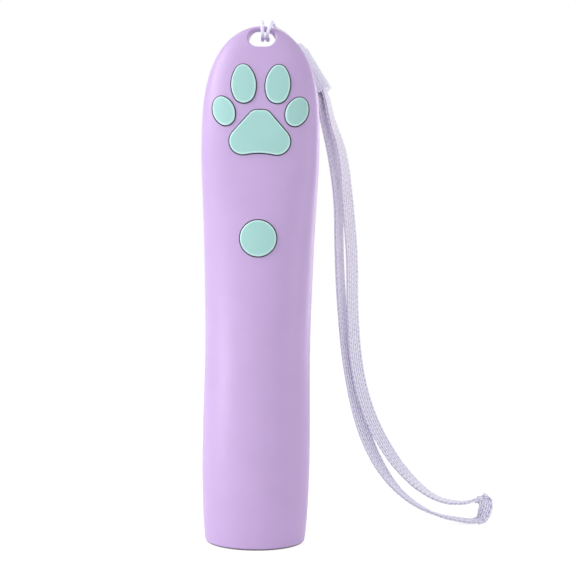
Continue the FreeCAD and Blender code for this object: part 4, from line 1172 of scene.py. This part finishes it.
    def stitch_tree(self, material: bpy.types.Material) -> GeometryBench:
        """Make the tree that sets a stitch of two leaning legs on each point.

        Args:
            material: The yarn's material.

        Returns:
            The tree, ready to run.
        """
        bench = GeometryBench(
            "knit_stitches",
            {
                "Stitch Length": self.stitch_length * self.pitch,
                "Yarn Width": self.yarn_width * self.width / self.columns,
                "Yarn Thickness": self.yarn_thickness,
                "Lean": self.stitch_lean,
            },
        )
        stitch = bench.add("GeometryNodeJoinGeometry")
        # The ball is 1 across, so that the stretch gives the leg its size
        leg = bench.add(
            "GeometryNodeMeshUVSphere",
            Segments=self.leg_segments,
            Rings=self.leg_rings,
            Radius=0.5,
        )
        stretch = bench.vector(
            bench.size("Yarn Width"), bench.size("Stitch Length"), bench.size("Yarn Thickness")
        )
        for hand in (-1.0, 1.0):
            shift = bench.math(Arithmetic.MULTIPLY, bench.size("Yarn Width"), self.leg_shift * hand)
            turn = bench.math(Arithmetic.MULTIPLY, bench.size("Lean"), -hand)
            half = bench.add("GeometryNodeTransform", Geometry=leg.outputs["Mesh"], Scale=stretch)
            bench.feed(half, "Translation", bench.vector(x=shift))
            bench.feed(half, "Rotation", bench.vector(z=turn))
            bench.feed(stitch, "Geometry", half.outputs[0])
        upright = bench.add("FunctionNodeAlignRotationToVector", {"axis": "Z"})
        bench.feed(upright, "Vector", bench.attribute("outward"))
        aligned = bench.add("FunctionNodeAlignRotationToVector", {"axis": "Y", "pivot_axis": "Z"})
        bench.feed(aligned, "Rotation", upright.outputs[0])
        bench.feed(aligned, "Vector", bench.attribute("along"))
        stitches = bench.add(
            "GeometryNodeInstanceOnPoints",
            Points=bench.given.outputs["Geometry"],
            Instance=stitch.outputs[0],
            Rotation=aligned.outputs[0],
        )
        chance = bench.add("FunctionNodeRandomValue", Seed=self.shade_seed)
        # The second output of a random value is its plain number
        shaded = bench.add(
            "GeometryNodeStoreNamedAttribute",
            {"domain": "INSTANCE", "data_type": "FLOAT"},
            Geometry=stitches.outputs[0],
            Name=YARN_SHADE,
            Value=chance.outputs[1],
        )
        bench.finish(shaded.outputs[0], material)
        return bench

    def build(self) -> None:
        line = SmoothLine("strap_line", self.route, self.line_resolution)
        material = Yarn("knitted_yarn", YARN_PALE, YARN_TOP_PAINTED_SHADE).material()
        # The core is drawn darker, as painted shade between the stitches
        shaded_ground = Yarn("shaded_inner_yarn", YARN_SHADED_GROUND, YARN_SHADED_GROUND).material()
        strap = show("knitted_strap", self.core(line, shaded_ground))
        sites = show("stitch_sites", self.stitch_sites(line))
        stitches = show("strap_stitches", self.stitch_tree(material).grow(sites))
        bpy.data.objects.remove(sites)
        with bpy.context.temp_override(
            active_object=strap, selected_editable_objects=[strap, stitches]
        ):
            bpy.ops.object.join()
        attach(strap, HANDLE)
        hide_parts("wrist_strap")
        line.length
        log.info("wrist strap is %.1f mm long", line.length / MM)
        line.discard()


@dataclass(frozen=True)
class Panel:
    """A soft panel lamp, its sizes in metres and its power in watts."""

    name: str
    place: Point
    width: float
    height: float
    power: float
    target: Point = (0.0, 0.0, 0.07)

    def hang(self) -> None:
        """Put the lamp in the scene, turned to its target."""
        lamp = bpy.data.lights.new(self.name, "AREA")
        lamp.shape = "RECTANGLE"
        lamp.size = self.width
        lamp.size_y = self.height
        lamp.energy = self.power
        aim = (Vector(self.target) - Vector(self.place)).to_track_quat("-Z", "Y")
        item = show(self.name, lamp)
        item.matrix_world = Matrix.Translation(self.place) @ aim.to_matrix().to_4x4()


@dataclass
class Studio:
    """Camera, lamps, floor and world, set for the photograph's view.

    The picture's half side and the focal length are in pixels, the lean is in radians.
    """

    camera_place: Point = (0.0078, -0.25175, 0.0669)
    picture_half: float = 288.0
    focal_length: float = 950.0
    lean: float = 0.01442
    nearest: float = 0.01
    panels: tuple[Panel, ...] = (
        Panel("key_panel", (-0.6, -0.22, 0.55), 0.42, 0.5, power=3.9),
        Panel("low_panel", (-0.2, -0.1, 0.03), 0.1, 0.05, power=0.085, target=(0.0, 0.0, 0.02)),
        Panel("front_panel", (0.15, -0.9, 0.2), 0.7, 0.4, power=0.1),
        Panel("right_panel", (0.66, -0.3, 0.15), 0.3, 0.5, power=0.7),
        Panel("back_panel", (0.5, 0.5, 0.2), 0.4, 0.4, power=1.35),
    )
    ambient: float = 0.67
    floor_half: float = 3.0
    floor_colour: Colour = (0.86, 0.86, 0.87)
    floor_shadow: float = 0.25
    floor_lift: float = 1.18

    def add_camera(self) -> None:
        """Look level along +Y, turned a little about the view so the pointer leans."""
        camera = bpy.data.cameras.new("photo_camera")
        camera.angle = 2 * math.atan(self.picture_half / self.focal_length)
        camera.clip_start = self.nearest
        level = Matrix.Rotation(math.pi / 2, 4, "X")
        roll = Matrix.Rotation(-self.lean, 4, "Y")
        item = show("photo_camera", camera)
        item.matrix_world = Matrix.Translation(self.camera_place) @ roll @ level
        bpy.context.scene.camera = item

    def seen_white(self, bench: NodeBench) -> Socket:
        """Give 1 where a ray comes from the camera, a mirror or clear glass."""
        ray = bench.add("ShaderNodeLightPath").outputs
        direct = bench.math(Arithmetic.MAXIMUM, ray["Is Camera Ray"], ray["Is Glossy Ray"])
        return bench.math(Arithmetic.MAXIMUM, direct, ray["Is Transmission Ray"])

    def add_world(self) -> None:
        """White for the camera and for reflections, a plain level for the rest."""
        world = bpy.data.worlds.new("studio_world")
        world.use_nodes = True
        bpy.context.scene.world = world
        bench = NodeBench(world.node_tree)
        level = bench.spread(self.seen_white(bench), 0.0, 1.0, self.ambient, 1.0)
        back = bench.add("ShaderNodeBackground", Color=WHITE, Strength=level)
        bench.add("ShaderNodeOutputWorld", Surface=back.outputs[0])

    def add_floor(self) -> None:
        """A pale plain floor that shows white and keeps a faint shadow."""
        half = self.floor_half
        mesh = bpy.data.meshes.new("studio_floor")
        corners = [(-half, -half, 0.0), (half, -half, 0.0), (half, half, 0.0), (-half, half, 0.0)]
        mesh.from_pydata(corners, [], [(0, 1, 2, 3)])
        material = bpy.data.materials.new("pale_floor")
        material.use_nodes = True
        bench = NodeBench(material.node_tree)
        matt = bench.add("ShaderNodeBsdfDiffuse", Color=self.floor_colour)
        white = bench.add("ShaderNodeEmission", Color=WHITE, Strength=self.floor_lift)
        share = bench.math(Arithmetic.MULTIPLY, self.seen_white(bench), 1.0 - self.floor_shadow)
        mix = bench.add("ShaderNodeMixShader")
        for number, part in enumerate((share, matt.outputs[0], white.outputs[0])):
            bench.feed(mix, number, part)
        bench.add("ShaderNodeOutputMaterial", Surface=mix.outputs[0])
        mesh.materials.append(material)
        show("studio_floor", mesh)

    def build(self) -> None:
        """Set the picture up."""
        bpy.context.scene.view_settings.view_transform = "Standard"
        self.add_camera()
        for panel in self.panels:
            panel.hang()
        self.add_world()
        self.add_floor()


def main() -> None:
    """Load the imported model, dress it, add the cord and the strap, and set up the studio."""
    logging.basicConfig(level=logging.INFO, format="%(message)s")
    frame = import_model()
    Studio().build()
    nodes = frame["nodes"]
    LanyardCord(nodes[CLIP]).build()
    WristStrap().build()
    for assembly in (Casing, Keys, LightEnd, Electronics, LanyardClip):
        assembly(nodes).dress()


if __name__ == "__main__":
    main()
